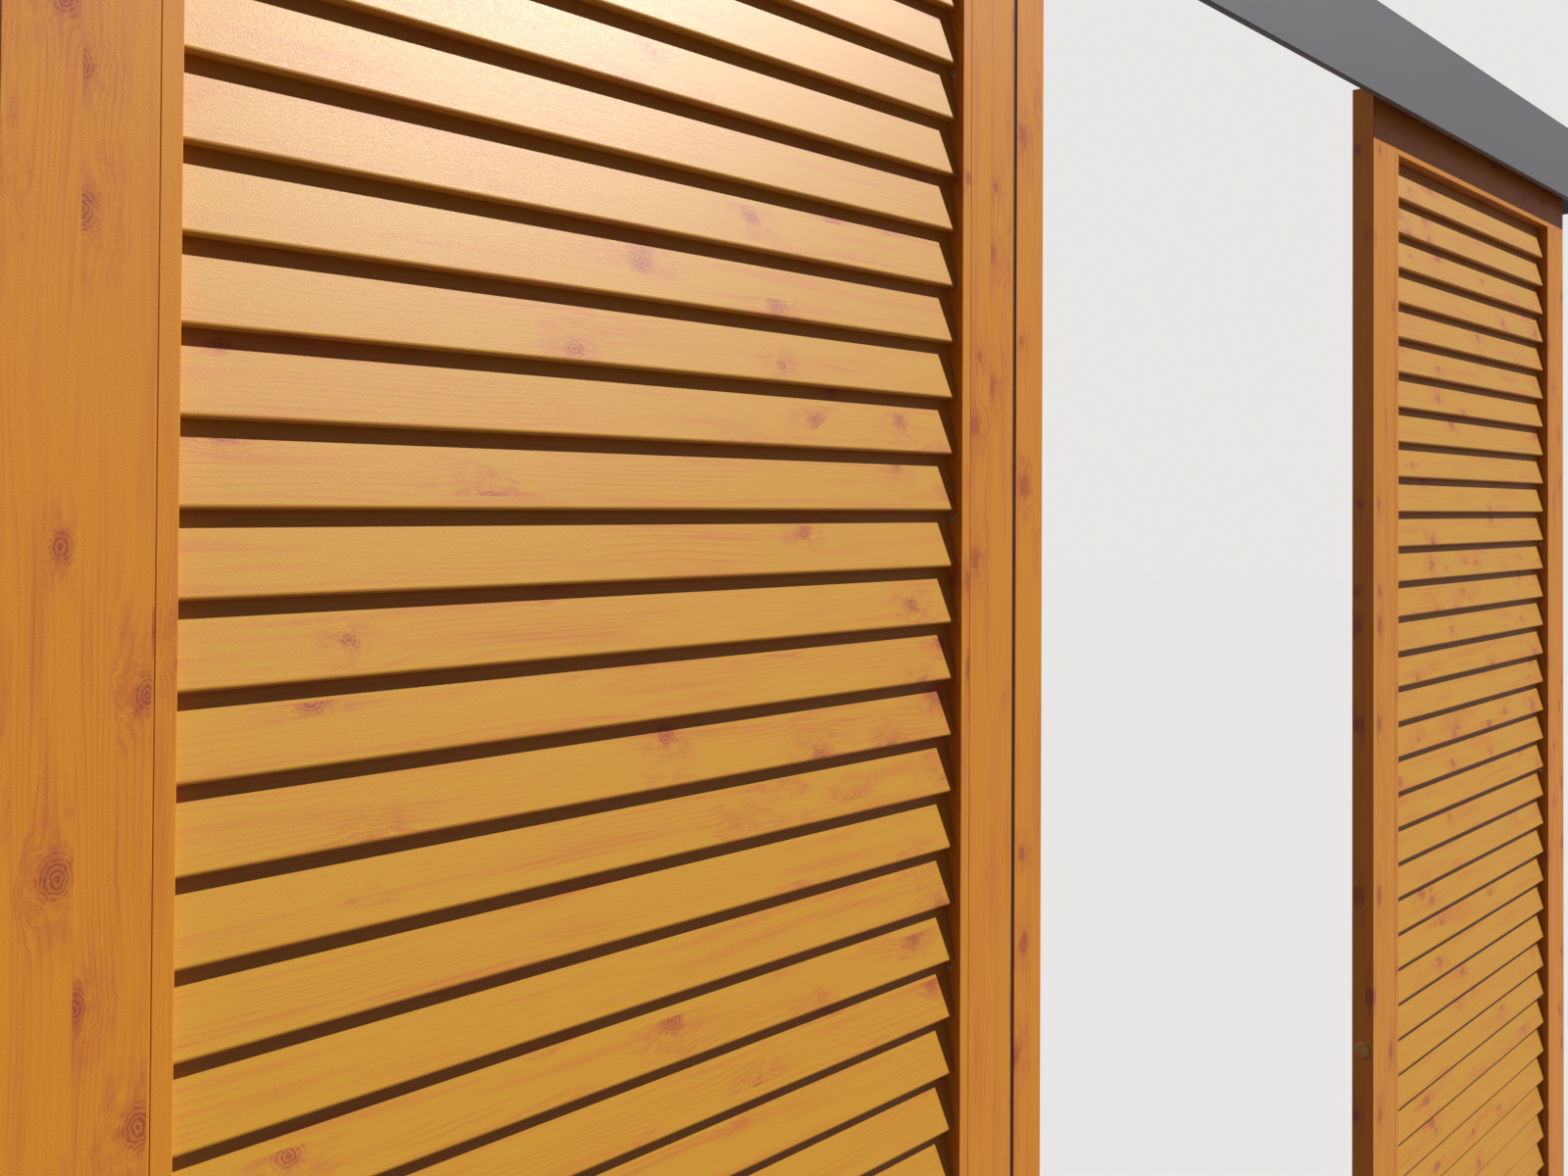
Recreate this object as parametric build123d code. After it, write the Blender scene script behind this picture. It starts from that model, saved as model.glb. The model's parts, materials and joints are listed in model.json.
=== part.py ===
from build123d import *
import os

# Pair of louvred sliding shutters that hang from a rail on the wall, in millimetres.
# X runs along the wall to the right, Y into the wall and Z up.
# The origin is the centre of the wall angle's back face, over the line where the leaves meet.
# As modelled, the left leaf stands closed and the right leaf stands open.

# Louvres, as a slanted hollow blade with a rounded nose at its lower front edge
louvre_count = 34
louvre_pitch = 60.0
louvre_rise = 66.3
louvre_depth = 10.2
louvre_lean = 14.7
louvre_setback = 7.0
louvre_wall = 1.3
nose_radius = 4.0
inner_nose_chamfer = 2.0
louvre_clear = 840.0
louvre_insert = 7.0
first_nose_drop = 68.0
last_nose_gap = 8.0
slot_clearance = 0.2
slot_nose_chamfer = 3.0

# Frame of a leaf, one hollow section mitred at the corners
frame_face = 94.5
leaf_depth = 35.0
frame_wall = 1.8
edge_radius = 1.0
cleat_chamber = 45.0
leaf_to_wall = 25.0

# Beads along the stiles that carry the louvres' ends
carrier_width = 15.0
carrier_wall = 1.6
carrier_screw_every = 8
carrier_screw_first_left = 1
carrier_screw_first_right = 2
carrier_screw_depth = 14.0
carrier_screw_drop = 8.5
carrier_screw_radius = 2.0
carrier_screw_head = 3.2
carrier_screw_head_height = 1.3

# Corner cleats inside the mitres
cleat_leg = 70.0
cleat_wall = 4.0
cleat_clearance = 0.15

# Closing profile on the left leaf's meeting edge, with its rebate and gasket
closing_width = 53.5
rebate_width = 15.0
rebate_depth = 12.0
gasket_width = 6.0
gasket_setback = 4.0
lip_clearance = 0.5
closing_cap = 2.0
closing_plug = 8.0
closing_screws = 3
closing_screw_radius = 2.0
closing_screw_head = 4.0
closing_screw_head_height = 2.0

# Round cap in the right leaf's meeting edge
edge_cap_radius = 12.0
edge_cap_height = 2.4
edge_cap_plug = 9.8
edge_cap_rise = 659.0

# Wall angle, running track and their screws
rail_overrun = 87.0
angle_height = 50.0
angle_reach = 64.0
angle_thickness = 4.0
wall_hole_radius = 4.5
track_width = 38.0
track_height = 38.0
track_wall = 2.5
track_slot = 12.0
track_to_leaf = 25.0
rail_screw_count = 6
rail_screw_inset = 170.0
track_screw_radius = 3.0
track_screw_head = 10.0
track_screw_head_height = 4.0
track_screw_grip = 8.0
track_nut_across = 10.0
track_nut_height = 5.0

# Grey fascia cover and its end caps
fascia_height = 150.0
fascia_to_leaf = 35.0
fascia_wall = 2.0
fascia_lip = 10.0
fascia_back_leg = 15.0
fascia_radius = 2.0
fascia_screw_count = 3
fascia_screw_radius = 2.1
fascia_screw_head = 4.0
fascia_screw_head_height = 2.2
end_cap_thickness = 2.0

# Trolleys, two to a leaf, each with two wheels on one axle
hanger_inset = 160.0
wheel_radius = 11.0
wheel_width = 9.0
wheel_clearance = 0.3
wheel_side_gap = 0.4
axle_radius = 3.0
axle_clearance = 0.05
axle_head_radius = 4.5
axle_head_height = 1.2
trolley_width = 10.0
trolley_length = 34.0
trolley_neck = 24.0
trolley_over_axle = 8.0
trolley_below_track = 8.0
trolley_lip_gap = 2.0
trolley_corner = 7.0

# Hangers between the trolleys and the leaf
bolt_radius = 4.0
bolt_hole_depth = 14.5
bolt_below_rail = 20.0
plate_length = 110.0
plate_width = 28.0
plate_thickness = 5.0
plate_screw_offset = 42.0
plate_screw_radius = 2.5
plate_screw_head = 8.0
plate_screw_head_height = 3.5
plate_screw_length = 14.0
lock_nut_across = 13.0
lock_nut_height = 6.5

# Travel of a leaf, and the stops in the track
travel = 970.0
closed_gap = 4.0
stop_length = 30.0
stop_height = 18.0
stop_clearance = 0.3
buffer_radius = 6.5
buffer_length = 8.0
clamp_thickness = 3.0
clamp_width = 24.0
stop_screw_radius = 3.0
stop_screw_head = 10.0
stop_screw_head_height = 4.0

# Guides on the wall that run in a groove under each leaf
groove_width = 14.0
groove_depth = 20.0
guide_side_gap = 0.5
guide_length = 50.0
guide_entry = 12.0
guide_below_leaf = 8.0
guide_rounding = 5.0
bracket_width = 60.0
bracket_thickness = 4.0
bracket_drop = 60.0
bracket_reach = 52.0
bracket_bend = 2.0
bracket_hole_pitch = 36.0
bracket_hole_drop = 36.0
bracket_hole_radius = 3.3
guide_screw_radius = 3.0
guide_screw_head = 10.0
guide_screw_head_height = 4.0
guide_screw_length = 14.0

# Room for a shank in its hole
hole_clearance = 0.1

# Places that follow from the sizes above
leaf_back = -leaf_to_wall
leaf_front = leaf_back - leaf_depth
leaf_middle = (leaf_front + leaf_back) / 2
track_top = -angle_height / 2
track_bottom = track_top - track_height
lip_top = track_bottom + track_wall
leaf_top = track_bottom - track_to_leaf
opening_height = first_nose_drop + (louvre_count - 1) * louvre_pitch + last_nose_gap
leaf_bottom = leaf_top - 2 * frame_face - opening_height
opening_top = leaf_top - frame_face
opening_bottom = leaf_bottom + frame_face
frame_width = louvre_clear + 2 * carrier_width + 2 * frame_face
closing_body = closing_width - (rebate_width - gasket_width)
frame_left = {"left": -closing_body - frame_width, "right": closed_gap + travel}
axle_height = lip_top + wheel_clearance + wheel_radius
trolley_bottom = track_bottom - trolley_below_track
trolley_places = (hanger_inset, frame_width - hanger_inset)
rail_end = frame_left["right"] + frame_width + rail_overrun
rail_screw_pitch = 2 * (rail_end - rail_screw_inset) / (rail_screw_count - 1)
rail_screw_places = [rail_screw_inset - rail_end + k * rail_screw_pitch for k in range(rail_screw_count)]
carrier_screw_first = {"left": carrier_screw_first_left, "right": carrier_screw_first_right}
carrier_screw_y = leaf_front + carrier_screw_depth


def rect(x0, x1, y0, y1):
    """Flat rectangle between two corners."""
    return Pos((x0 + x1) / 2, (y0 + y1) / 2) * Rectangle(x1 - x0, y1 - y0)


def block(x0, x1, y0, y1, z0, z1):
    """Box between two corners."""
    return Pos((x0 + x1) / 2, (y0 + y1) / 2, (z0 + z1) / 2) * Box(x1 - x0, y1 - y0, z1 - z0)


def along_x(section, x0, x1):
    """Section drawn in Y and Z, run from x0 to x1."""
    return Pos(x0, 0, 0) * extrude(Plane.YZ * section, x1 - x0, dir=(1, 0, 0))


def along_y(section, y0, y1):
    """Section drawn in X and Z, run from y0 to y1."""
    return Pos(0, y0, 0) * extrude(Plane.XZ * section, y1 - y0, dir=(0, 1, 0))


def along_z(section, z0, z1):
    """Section drawn in X and Y, run from z0 to z1."""
    return Pos(0, 0, z0) * extrude(section, z1 - z0, dir=(0, 0, 1))


def rod_x(x0, x1, y, z, radius):
    """Round bar along X."""
    return along_x(Pos(y, z) * Circle(radius), x0, x1)


def rod_y(y0, y1, x, z, radius):
    """Round bar along Y."""
    return along_y(Pos(x, z) * Circle(radius), y0, y1)


def rod_z(z0, z1, x, y, radius):
    """Round bar along Z."""
    return along_z(Pos(x, y) * Circle(radius), z0, z1)


def rounded(sketch, corners, radius):
    """Sketch with the named corners rounded."""
    picked = [v for v in sketch.vertices() if (round(v.X, 3), round(v.Y, 3)) in corners]
    return fillet(picked, radius)


def cut_corners(sketch, corners, length):
    """Sketch with the named corners cut off."""
    picked = [v for v in sketch.vertices() if (round(v.X, 3), round(v.Y, 3)) in corners]
    return chamfer(picked, length)


def corner(x, y):
    """Place of a corner, as rounded() looks for it."""
    return (round(x, 3), round(y, 3))


def outline(points):
    """Flat face inside a closed line of points."""
    return make_face(Polyline(*points, close=True))


# Sections and bars of the frame


def frame_outline(rebated):
    """Outer shape of the frame section: X runs from the leaf's outer edge to the opening."""
    shape = rect(0, frame_face, leaf_front, leaf_back)
    corners = [corner(x, y) for x in (0, frame_face) for y in (leaf_front, leaf_back)]
    if rebated:
        shape -= rect(0, rebate_width, leaf_front, leaf_front + rebate_depth)
        corners = [
            corner(0, leaf_back),
            corner(rebate_width, leaf_front),
            corner(frame_face, leaf_front),
            corner(frame_face, leaf_back),
        ]
    return rounded(shape, corners, edge_radius)


def cleat_space():
    """Chamber beside the opening, which takes the corner cleats."""
    inner = frame_face - frame_wall
    return rect(frame_face - cleat_chamber, inner, leaf_front + frame_wall, leaf_back - frame_wall)


def outer_space(rebated, grooved):
    """Chamber beside the leaf's outer edge."""
    far = frame_face - cleat_chamber - frame_wall
    space = rect(frame_wall, far, leaf_front + frame_wall, leaf_back - frame_wall)
    if rebated:
        step = rebate_width + frame_wall
        space -= rect(0, step, leaf_front, leaf_front + rebate_depth + frame_wall)
    if grooved:
        half = groove_width / 2 + frame_wall
        space -= rect(0, groove_depth + frame_wall, leaf_middle - half, leaf_middle + half)
    return space


def frame_section(rebated=False, grooved=False):
    """Hollow section of the stiles and rails."""
    section = frame_outline(rebated) - cleat_space() - outer_space(rebated, grooved)
    if grooved:
        half = groove_width / 2
        section -= rect(0, groove_depth, leaf_middle - half, leaf_middle + half)
    return section


def stile_mitre():
    """Face of a stile between its two mitres, at the leaf's left edge."""
    return outline(
        [
            (0, leaf_bottom),
            (frame_face, opening_bottom),
            (frame_face, opening_top),
            (0, leaf_top),
        ]
    )


def stile(rebated=False):
    """Upright of the frame at the leaf's left edge, mitred at both ends."""
    bar = along_z(frame_section(rebated), leaf_bottom, leaf_top)
    return bar & along_y(stile_mitre(), leaf_front, leaf_back)


def at_right_edge(piece):
    """Mirrored copy of a piece, at the leaf's right edge."""
    return Pos(frame_width, 0, 0) * mirror(piece, about=Plane.YZ)


def rail_mitre(outer, inner):
    """Face of a rail between its two mitres."""
    return outline(
        [
            (0, outer),
            (frame_width, outer),
            (frame_width - frame_face, inner),
            (frame_face, inner),
        ]
    )


def top_rail():
    """Upper rail, mitred, with the hanger bolts' and plate screws' holes."""
    bar = along_z(frame_section(), 0, frame_width)
    bar = Pos(0, 0, leaf_top) * Rot(0, 90, 0) * bar
    bar &= along_y(rail_mitre(leaf_top, opening_top), leaf_front, leaf_back)
    wall = (leaf_top - 2 * frame_wall, leaf_top + frame_wall)
    for x in trolley_places:
        bar -= rod_z(*wall, x, leaf_middle, bolt_radius + 2 * hole_clearance)
        for side in (-1, 1):
            place = x + side * plate_screw_offset
            bar -= rod_z(*wall, place, leaf_middle, plate_screw_radius + hole_clearance)
    return bar


def bottom_rail():
    """Lower rail, mitred, with the guide groove under it."""
    bar = along_z(frame_section(grooved=True), 0, frame_width)
    bar = Pos(frame_width, 0, leaf_bottom) * Rot(0, -90, 0) * bar
    return bar & along_y(rail_mitre(leaf_bottom, opening_bottom), leaf_front, leaf_back)


def rebate_notch():
    """Space of the meeting edge's rebate, which also runs through the rails' ends."""
    x0 = frame_width - rebate_width
    y1 = leaf_front + rebate_depth
    return block(x0, frame_width + 1, leaf_front - 1, y1, leaf_bottom - 1, leaf_top + 1)


def cleat():
    """Corner cleat, cut from an L-shaped bar with two cells, at the top left corner."""
    out = frame_face - cleat_chamber + cleat_clearance
    bend = frame_face - frame_wall - cleat_clearance
    end = bend + cleat_leg
    shape = outline([(out, -out), (end, -out), (end, -bend), (bend, -bend), (bend, -end), (out, -end)])
    shape -= rect(bend, end - cleat_wall, -bend + cleat_wall, -out - cleat_wall)
    shape -= rect(out + cleat_wall, bend - cleat_wall, -end + cleat_wall, -bend)
    y0 = leaf_front + frame_wall + cleat_clearance
    y1 = leaf_back - frame_wall - cleat_clearance
    return along_y(shape, y0, y1)


def corner_cleats():
    """The four cleats of a leaf."""
    upper = Pos(0, 0, leaf_top) * cleat()
    lower = Pos(0, 0, leaf_bottom) * mirror(cleat(), about=Plane.XY)
    left = [upper, lower]
    return left + [at_right_edge(piece) for piece in left]


# Louvres and the beads that carry them


def nose_height(number):
    """Height of a louvre's lower edge, counted from the top."""
    return opening_top - first_nose_drop - number * louvre_pitch


def blade_outline(grow):
    """Slanted outline of a blade in Y and Z, larger all round by the given amount, lower edge near Z 0."""
    slope = louvre_lean / louvre_rise
    side = grow * (1 + slope**2) ** 0.5
    low = -grow
    high = louvre_rise + grow
    front = leaf_front + louvre_setback - side
    back = front + louvre_depth + 2 * side
    return [
        (front + slope * low, low),
        (back + slope * low, low),
        (back + slope * high, high),
        (front + slope * high, high),
    ]


def nose_corner(points):
    """Lower front corner of a blade's outline."""
    return [corner(*points[0])]


def louvre_section():
    """Hollow section of a blade, rounded at the nose."""
    outer = blade_outline(0)
    inner = blade_outline(-louvre_wall)
    shape = rounded(outline(outer), nose_corner(outer), nose_radius)
    return shape - cut_corners(outline(inner), nose_corner(inner), inner_nose_chamfer)


def slot_section():
    """Slot for a blade's end, a little larger than the blade."""
    points = blade_outline(slot_clearance)
    return cut_corners(outline(points), nose_corner(points), slot_nose_chamfer)


def louvre():
    """One hollow blade, long enough to enter the beads at both ends."""
    inner_face = frame_face + carrier_width
    return along_x(louvre_section(), inner_face - louvre_insert, frame_width - inner_face + louvre_insert)


def louvres():
    """All blades of a leaf."""
    blade = louvre()
    return [Pos(0, 0, nose_height(number)) * blade for number in range(louvre_count)]


def carrier_screw_heights(side):
    """Heights of the bead's screws, each just under a louvre's lower edge."""
    numbers = range(carrier_screw_first[side], louvre_count - 1, carrier_screw_every)
    return [nose_height(number) - carrier_screw_drop for number in numbers]


def carrier(side):
    """Channel beside the left stile, open towards it, with a slot for each louvre's end."""
    x0 = frame_face
    x1 = frame_face + carrier_width
    section = rect(x0, x1, leaf_front, leaf_back)
    corners = [corner(x, y) for x in (x0, x1) for y in (leaf_front, leaf_back)]
    section = rounded(section, corners, edge_radius)
    wall = carrier_wall
    section -= rect(x0, x1 - wall, leaf_front + wall, leaf_back - wall)
    bead = along_z(section, opening_bottom, opening_top)
    slot = along_x(slot_section(), x1 - 2 * wall, x1 + wall)
    bead -= [Pos(0, 0, nose_height(number)) * slot for number in range(louvre_count)]
    radius = carrier_screw_radius + hole_clearance
    bead -= [rod_x(x1 - 2 * wall, x1 + wall, carrier_screw_y, z, radius) for z in carrier_screw_heights(side)]
    return bead


def carrier_screws(side):
    """Screws that hold the left bead to its stile."""
    face = frame_face + carrier_width
    tip = frame_face - 2 * frame_wall
    end = face + carrier_screw_head_height
    screws = []
    for z in carrier_screw_heights(side):
        shank = rod_x(tip, face, carrier_screw_y, z, carrier_screw_radius)
        head = rod_x(face, end, carrier_screw_y, z, carrier_screw_head)
        screws.append(shank + head)
    return screws


def with_carrier_holes(piece, side):
    """Left stile, drilled for the bead's screws."""
    x0 = frame_face - 1.5 * frame_wall
    radius = carrier_screw_radius + hole_clearance
    holes = [rod_x(x0, frame_face + 1, carrier_screw_y, z, radius) for z in carrier_screw_heights(side)]
    return piece - holes


# Closing profile of the left leaf, placed from the meeting line at X 0


def closing_lip_edge():
    """Left edge of the profile's lip, which laps into the stile's rebate."""
    return -closing_body - (rebate_width - gasket_width)


def closing_lip_back():
    """Rear face of the profile's lip."""
    return leaf_front + rebate_depth - lip_clearance


def closing_outline():
    """Outer shape with a lip in front of the stile's tongue."""
    x0 = -closing_body
    shape = rect(x0, 0, leaf_front, leaf_back) + rect(closing_lip_edge(), x0, leaf_front, closing_lip_back())
    corners = [
        corner(0, leaf_front),
        corner(0, leaf_back),
        corner(x0, leaf_back),
        corner(closing_lip_edge(), leaf_front),
    ]
    return rounded(shape, corners, edge_radius)


def closing_section():
    """Hollow section of the closing profile."""
    wall = frame_wall
    x0 = closing_lip_edge() + wall
    lip_space = rect(x0, -closing_body, leaf_front + wall, closing_lip_back() - wall)
    return closing_outline() - lip_space - closing_space()


def closing_space(clearance=0.0):
    """Main chamber of the closing profile."""
    edge = frame_wall + clearance
    return rect(-closing_body + edge, -edge, leaf_front + edge, leaf_back - edge)


def closing_screw_heights():
    """Heights of the screws behind the closing profile."""
    step = (leaf_top - leaf_bottom) / closing_screws
    return [leaf_bottom + (k + 0.5) * step for k in range(closing_screws)]


def closing_screw_x():
    """Middle of the lap between lip and tongue."""
    return (closing_lip_edge() - closing_body) / 2


def closing_screw_holes():
    """Holes through the tongue and the lip's rear wall."""
    depth = closing_lip_back() - 2 * frame_wall
    radius = closing_screw_radius + hole_clearance
    x = closing_screw_x()
    return [rod_y(depth, leaf_back + 1, x, z, radius) for z in closing_screw_heights()]


def closing_profile():
    """Profile that closes the gap at the meeting line."""
    bar = along_z(closing_section(), leaf_bottom + closing_cap, leaf_top - closing_cap)
    return bar - closing_screw_holes()


def closing_fixings():
    """Pan-head screws from behind, through the tongue into the lip."""
    tip = closing_lip_back() - 2.5 * frame_wall
    head_back = leaf_back + closing_screw_head_height
    x = closing_screw_x()
    screws = []
    for z in closing_screw_heights():
        shank = rod_y(tip, leaf_back, x, z, closing_screw_radius)
        head = rod_y(leaf_back, head_back, x, z, closing_screw_head)
        screws.append(shank + head)
    return screws


def closing_end_caps():
    """Plugs in the closing profile's two ends."""
    plug = closing_space(cleat_clearance)
    upper = along_z(closing_outline(), leaf_top - closing_cap, leaf_top)
    upper += along_z(plug, leaf_top - closing_cap - closing_plug, leaf_top - closing_cap)
    middle = (leaf_top + leaf_bottom) / 2
    lower = mirror(upper, about=Plane.XY.offset(middle))
    return [upper, lower]


def gasket():
    """Rubber strip in the rebate, between the stile and the closing profile."""
    x0 = closing_lip_edge() - gasket_width
    y0 = leaf_front + gasket_setback
    y1 = leaf_front + rebate_depth
    return block(x0, closing_lip_edge(), y0, y1, leaf_bottom, leaf_top)


# Hangers and trolleys, placed from the leaf's left edge


def hexagon(x, y, across):
    """Hexagon of a bolt's head or a nut, measured across its flats."""
    return Pos(x, y) * RegularPolygon(across / 2, 6, major_radius=False)


def screw_z(x, y, seat, tip, radius, across, head_height):
    """Hexagon screw along Z, its head's flat side at the seat and its shank towards the tip."""
    away = 1 if tip < seat else -1
    shank = rod_z(min(seat, tip), max(seat, tip), x, y, radius)
    head_end = seat + away * head_height
    return shank + along_z(hexagon(x, y, across), min(seat, head_end), max(seat, head_end))


def hanger_plate(x):
    """Steel plate on the top rail, tapped for the hanger bolt."""
    section = Pos(x, leaf_middle) * Rectangle(plate_length, plate_width)
    plate = along_z(section, leaf_top, leaf_top + plate_thickness)
    span = (leaf_top - 1, leaf_top + plate_thickness + 1)
    plate -= rod_z(*span, x, leaf_middle, bolt_radius + axle_clearance)
    for side in (-1, 1):
        place = x + side * plate_screw_offset
        plate -= rod_z(*span, place, leaf_middle, plate_screw_radius + hole_clearance)
    return plate


def plate_screws():
    """Screws that hold both hanger plates."""
    seat = leaf_top + plate_thickness
    screws = []
    for x in trolley_places:
        for side in (-1, 1):
            place = x + side * plate_screw_offset
            size = (plate_screw_radius, plate_screw_head, plate_screw_head_height)
            screws.append(screw_z(place, leaf_middle, seat, seat - plate_screw_length, *size))
    return screws


def hanger_bolts():
    """Threaded rods between trolley and hanger plate."""
    z0 = leaf_top - bolt_below_rail
    z1 = trolley_bottom + bolt_hole_depth
    return [rod_z(z0, z1, x, leaf_middle, bolt_radius) for x in trolley_places]


def lock_nuts():
    """Hexagon nuts that lock the bolts on the hanger plates."""
    z0 = leaf_top + plate_thickness
    section = hexagon(0, 0, lock_nut_across) - Circle(bolt_radius + axle_clearance)
    return [along_z(Pos(x, leaf_middle) * section, z0, z0 + lock_nut_height) for x in trolley_places]


def trolley(x):
    """Trolley body: a plate between the wheels, with a neck down through the track's slot."""
    half = trolley_length / 2
    neck = trolley_neck / 2
    top = axle_height + trolley_over_axle
    shoulder = lip_top + trolley_lip_gap
    shape = rect(x - half, x + half, shoulder, top)
    shape = cut_corners(shape, [corner(x - half, top), corner(x + half, top)], trolley_corner)
    shape += rect(x - neck, x + neck, trolley_bottom, shoulder)
    y0 = leaf_middle - trolley_width / 2
    body = along_y(shape, y0, y0 + trolley_width)
    body -= rod_y(y0 - 1, y0 + trolley_width + 1, x, axle_height, axle_radius)
    hole = rod_z(trolley_bottom - 1, trolley_bottom + bolt_hole_depth, x, leaf_middle, bolt_radius)
    return body - hole


def axles():
    """Axle pins of both trolleys, riveted over at their ends."""
    reach = trolley_width / 2 + wheel_width + 2 * wheel_side_gap
    pins = []
    for x in trolley_places:
        pin = rod_y(leaf_middle - reach, leaf_middle + reach, x, axle_height, axle_radius)
        for start in (leaf_middle - reach - axle_head_height, leaf_middle + reach):
            pin += rod_y(start, start + axle_head_height, x, axle_height, axle_head_radius)
        pins.append(pin)
    return pins


def wheels(x):
    """The two wheels of a trolley, which run on the track's lips."""
    near = trolley_width / 2 + wheel_side_gap
    section = Pos(x, axle_height) * (Circle(wheel_radius) - Circle(axle_radius + axle_clearance))
    front = along_y(section, leaf_middle - near - wheel_width, leaf_middle - near)
    back = along_y(section, leaf_middle + near, leaf_middle + near + wheel_width)
    return [front, back]


def edge_cap():
    """Round cap pushed into the right leaf's meeting edge."""
    z = leaf_bottom + edge_cap_rise
    cap = rod_x(-edge_cap_height, 0, leaf_middle, z, edge_cap_radius)
    cap = chamfer(cap.edges().group_by(Axis.X)[0], edge_cap_height / 2)
    return cap + rod_x(0, edge_cap_radius, leaf_middle, z, edge_cap_plug)


def with_cap_hole(piece):
    """Meeting stile of the right leaf, bored for the round cap."""
    z = leaf_bottom + edge_cap_rise
    return piece - rod_x(-1, 1.5 * frame_wall, leaf_middle, z, edge_cap_plug + hole_clearance)


# Rail on the wall


def wall_angle():
    """Angle on the wall, which carries the track under its lower leg."""
    low = -angle_height / 2
    section = rect(-angle_thickness, 0, low, -low) + rect(-angle_reach, 0, low, low + angle_thickness)
    angle = along_x(section, -rail_end, rail_end)
    upper_leg = (-angle_thickness - 1, 1)
    lower_leg = (low - 1, low + angle_thickness + 1)
    cover_radius = fascia_screw_radius + hole_clearance
    holes = [rod_y(*upper_leg, x, fascia_screw_height(), cover_radius) for x in fascia_screw_places()]
    for x in rail_screw_places:
        holes.append(rod_y(*upper_leg, x, 0, wall_hole_radius))
        holes.append(rod_z(*lower_leg, x, leaf_middle, track_screw_radius + hole_clearance))
    return angle - holes


def running_track():
    """C-shaped track, open to the slot below, with lips that carry the wheels."""
    half = track_width / 2
    wall = track_wall
    section = rect(leaf_middle - half, leaf_middle + half, track_bottom, track_top)
    section -= rect(leaf_middle - half + wall, leaf_middle + half - wall, lip_top, track_top - wall)
    section -= rect(leaf_middle - track_slot / 2, leaf_middle + track_slot / 2, track_bottom, lip_top)
    track = along_x(section, -rail_end, rail_end)
    span = (track_top - 2 * wall, track_top + 1)
    radius = track_screw_radius + hole_clearance
    return track - [rod_z(*span, x, leaf_middle, radius) for x in rail_screw_places]


def track_screws():
    """Screws that hold the track to the angle, their heads inside the track."""
    seat = track_top - track_wall
    tip = track_top + angle_thickness + track_screw_grip
    size = (track_screw_radius, track_screw_head, track_screw_head_height)
    return [screw_z(x, leaf_middle, seat, tip, *size) for x in rail_screw_places]


def track_nuts():
    """Hexagon nuts on the angle's lower leg."""
    section = hexagon(0, 0, track_nut_across) - Circle(track_screw_radius + axle_clearance)
    z0 = track_top + angle_thickness
    return [along_z(Pos(x, leaf_middle) * section, z0, z0 + track_nut_height) for x in rail_screw_places]


def fascia_top():
    """Upper face of the fascia cover, just over the wall angle."""
    return angle_height / 2 + fascia_wall


def fascia_front():
    """Front face of the fascia cover."""
    return leaf_front - fascia_to_leaf


def fascia_screw_height():
    """Height of the screws in the cover's rear leg."""
    return angle_height / 2 - fascia_back_leg / 2


def fascia_screw_places():
    """Places of the cover's screws along the rail, evenly spread."""
    step = 2 * rail_end / fascia_screw_count
    return [(k + 0.5) * step - rail_end for k in range(fascia_screw_count)]


def fascia_cover():
    """Cover over the track: front plate, top flange, rear leg and a lip at its lower edge."""
    top = fascia_top()
    low = top - fascia_height
    front = fascia_front()
    wall = fascia_wall
    rear = -angle_thickness - wall
    section = rect(front, front + wall, low, top) + rect(front, 0, top - wall, top)
    section += rect(front, front + fascia_lip, low, low + wall)
    section += rect(rear, rear + wall, angle_height / 2 - fascia_back_leg, top)
    section = rounded(section, [corner(front, low), corner(front, top)], fascia_radius)
    cover = along_x(section, -rail_end, rail_end)
    span = (rear - 1, rear + wall + 1)
    radius = fascia_screw_radius + hole_clearance
    return cover - [rod_y(*span, x, fascia_screw_height(), radius) for x in fascia_screw_places()]


def fascia_screws():
    """Small screws through the cover's rear leg into the wall angle."""
    seat = -angle_thickness - fascia_wall
    screws = []
    for x in fascia_screw_places():
        shank = rod_y(seat, -hole_clearance, x, fascia_screw_height(), fascia_screw_radius)
        head = rod_y(seat - fascia_screw_head_height, seat, x, fascia_screw_height(), fascia_screw_head)
        screws.append(shank + head)
    return screws


def fascia_end_cap(end):
    """Plate that closes the cover's end, at the right with end 1 and at the left with end -1."""
    front = fascia_front()
    top = fascia_top()
    low = top - fascia_height
    section = rounded(rect(front, 0, low, top), [corner(front, low), corner(front, top)], fascia_radius)
    near = end * rail_end
    far = near + end * end_cap_thickness
    return along_x(section, min(near, far), max(near, far))


# Stops in the track


def stop_places():
    """Place of each trolley's end face at its stop, and the side on which the stop lies."""
    half = trolley_length / 2 + stop_clearance
    first, last = trolley_places
    left_open = frame_left["left"] - travel + first - half
    left_closed = frame_left["left"] + last + half
    right_closed = frame_left["right"] - travel + first - half
    right_open = frame_left["right"] + last + half
    return [(left_open, -1), (left_closed, 1), (right_closed, -1), (right_open, 1)]


def stop_span(face, side):
    """Ends of a stop's block, behind its buffer."""
    near = face + side * buffer_length
    far = near + side * stop_length
    return min(near, far), max(near, far)


def track_stops():
    """Blocks clamped on the track's lips."""
    half = track_width / 2 - track_wall - stop_clearance
    radius = stop_screw_radius + hole_clearance
    stops = []
    for face, side in stop_places():
        x0, x1 = stop_span(face, side)
        stop = block(x0, x1, leaf_middle - half, leaf_middle + half, lip_top, lip_top + stop_height)
        hole = rod_z(lip_top - 1, lip_top + stop_height / 2, (x0 + x1) / 2, leaf_middle, radius)
        stops.append(stop - hole)
    return stops


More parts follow.
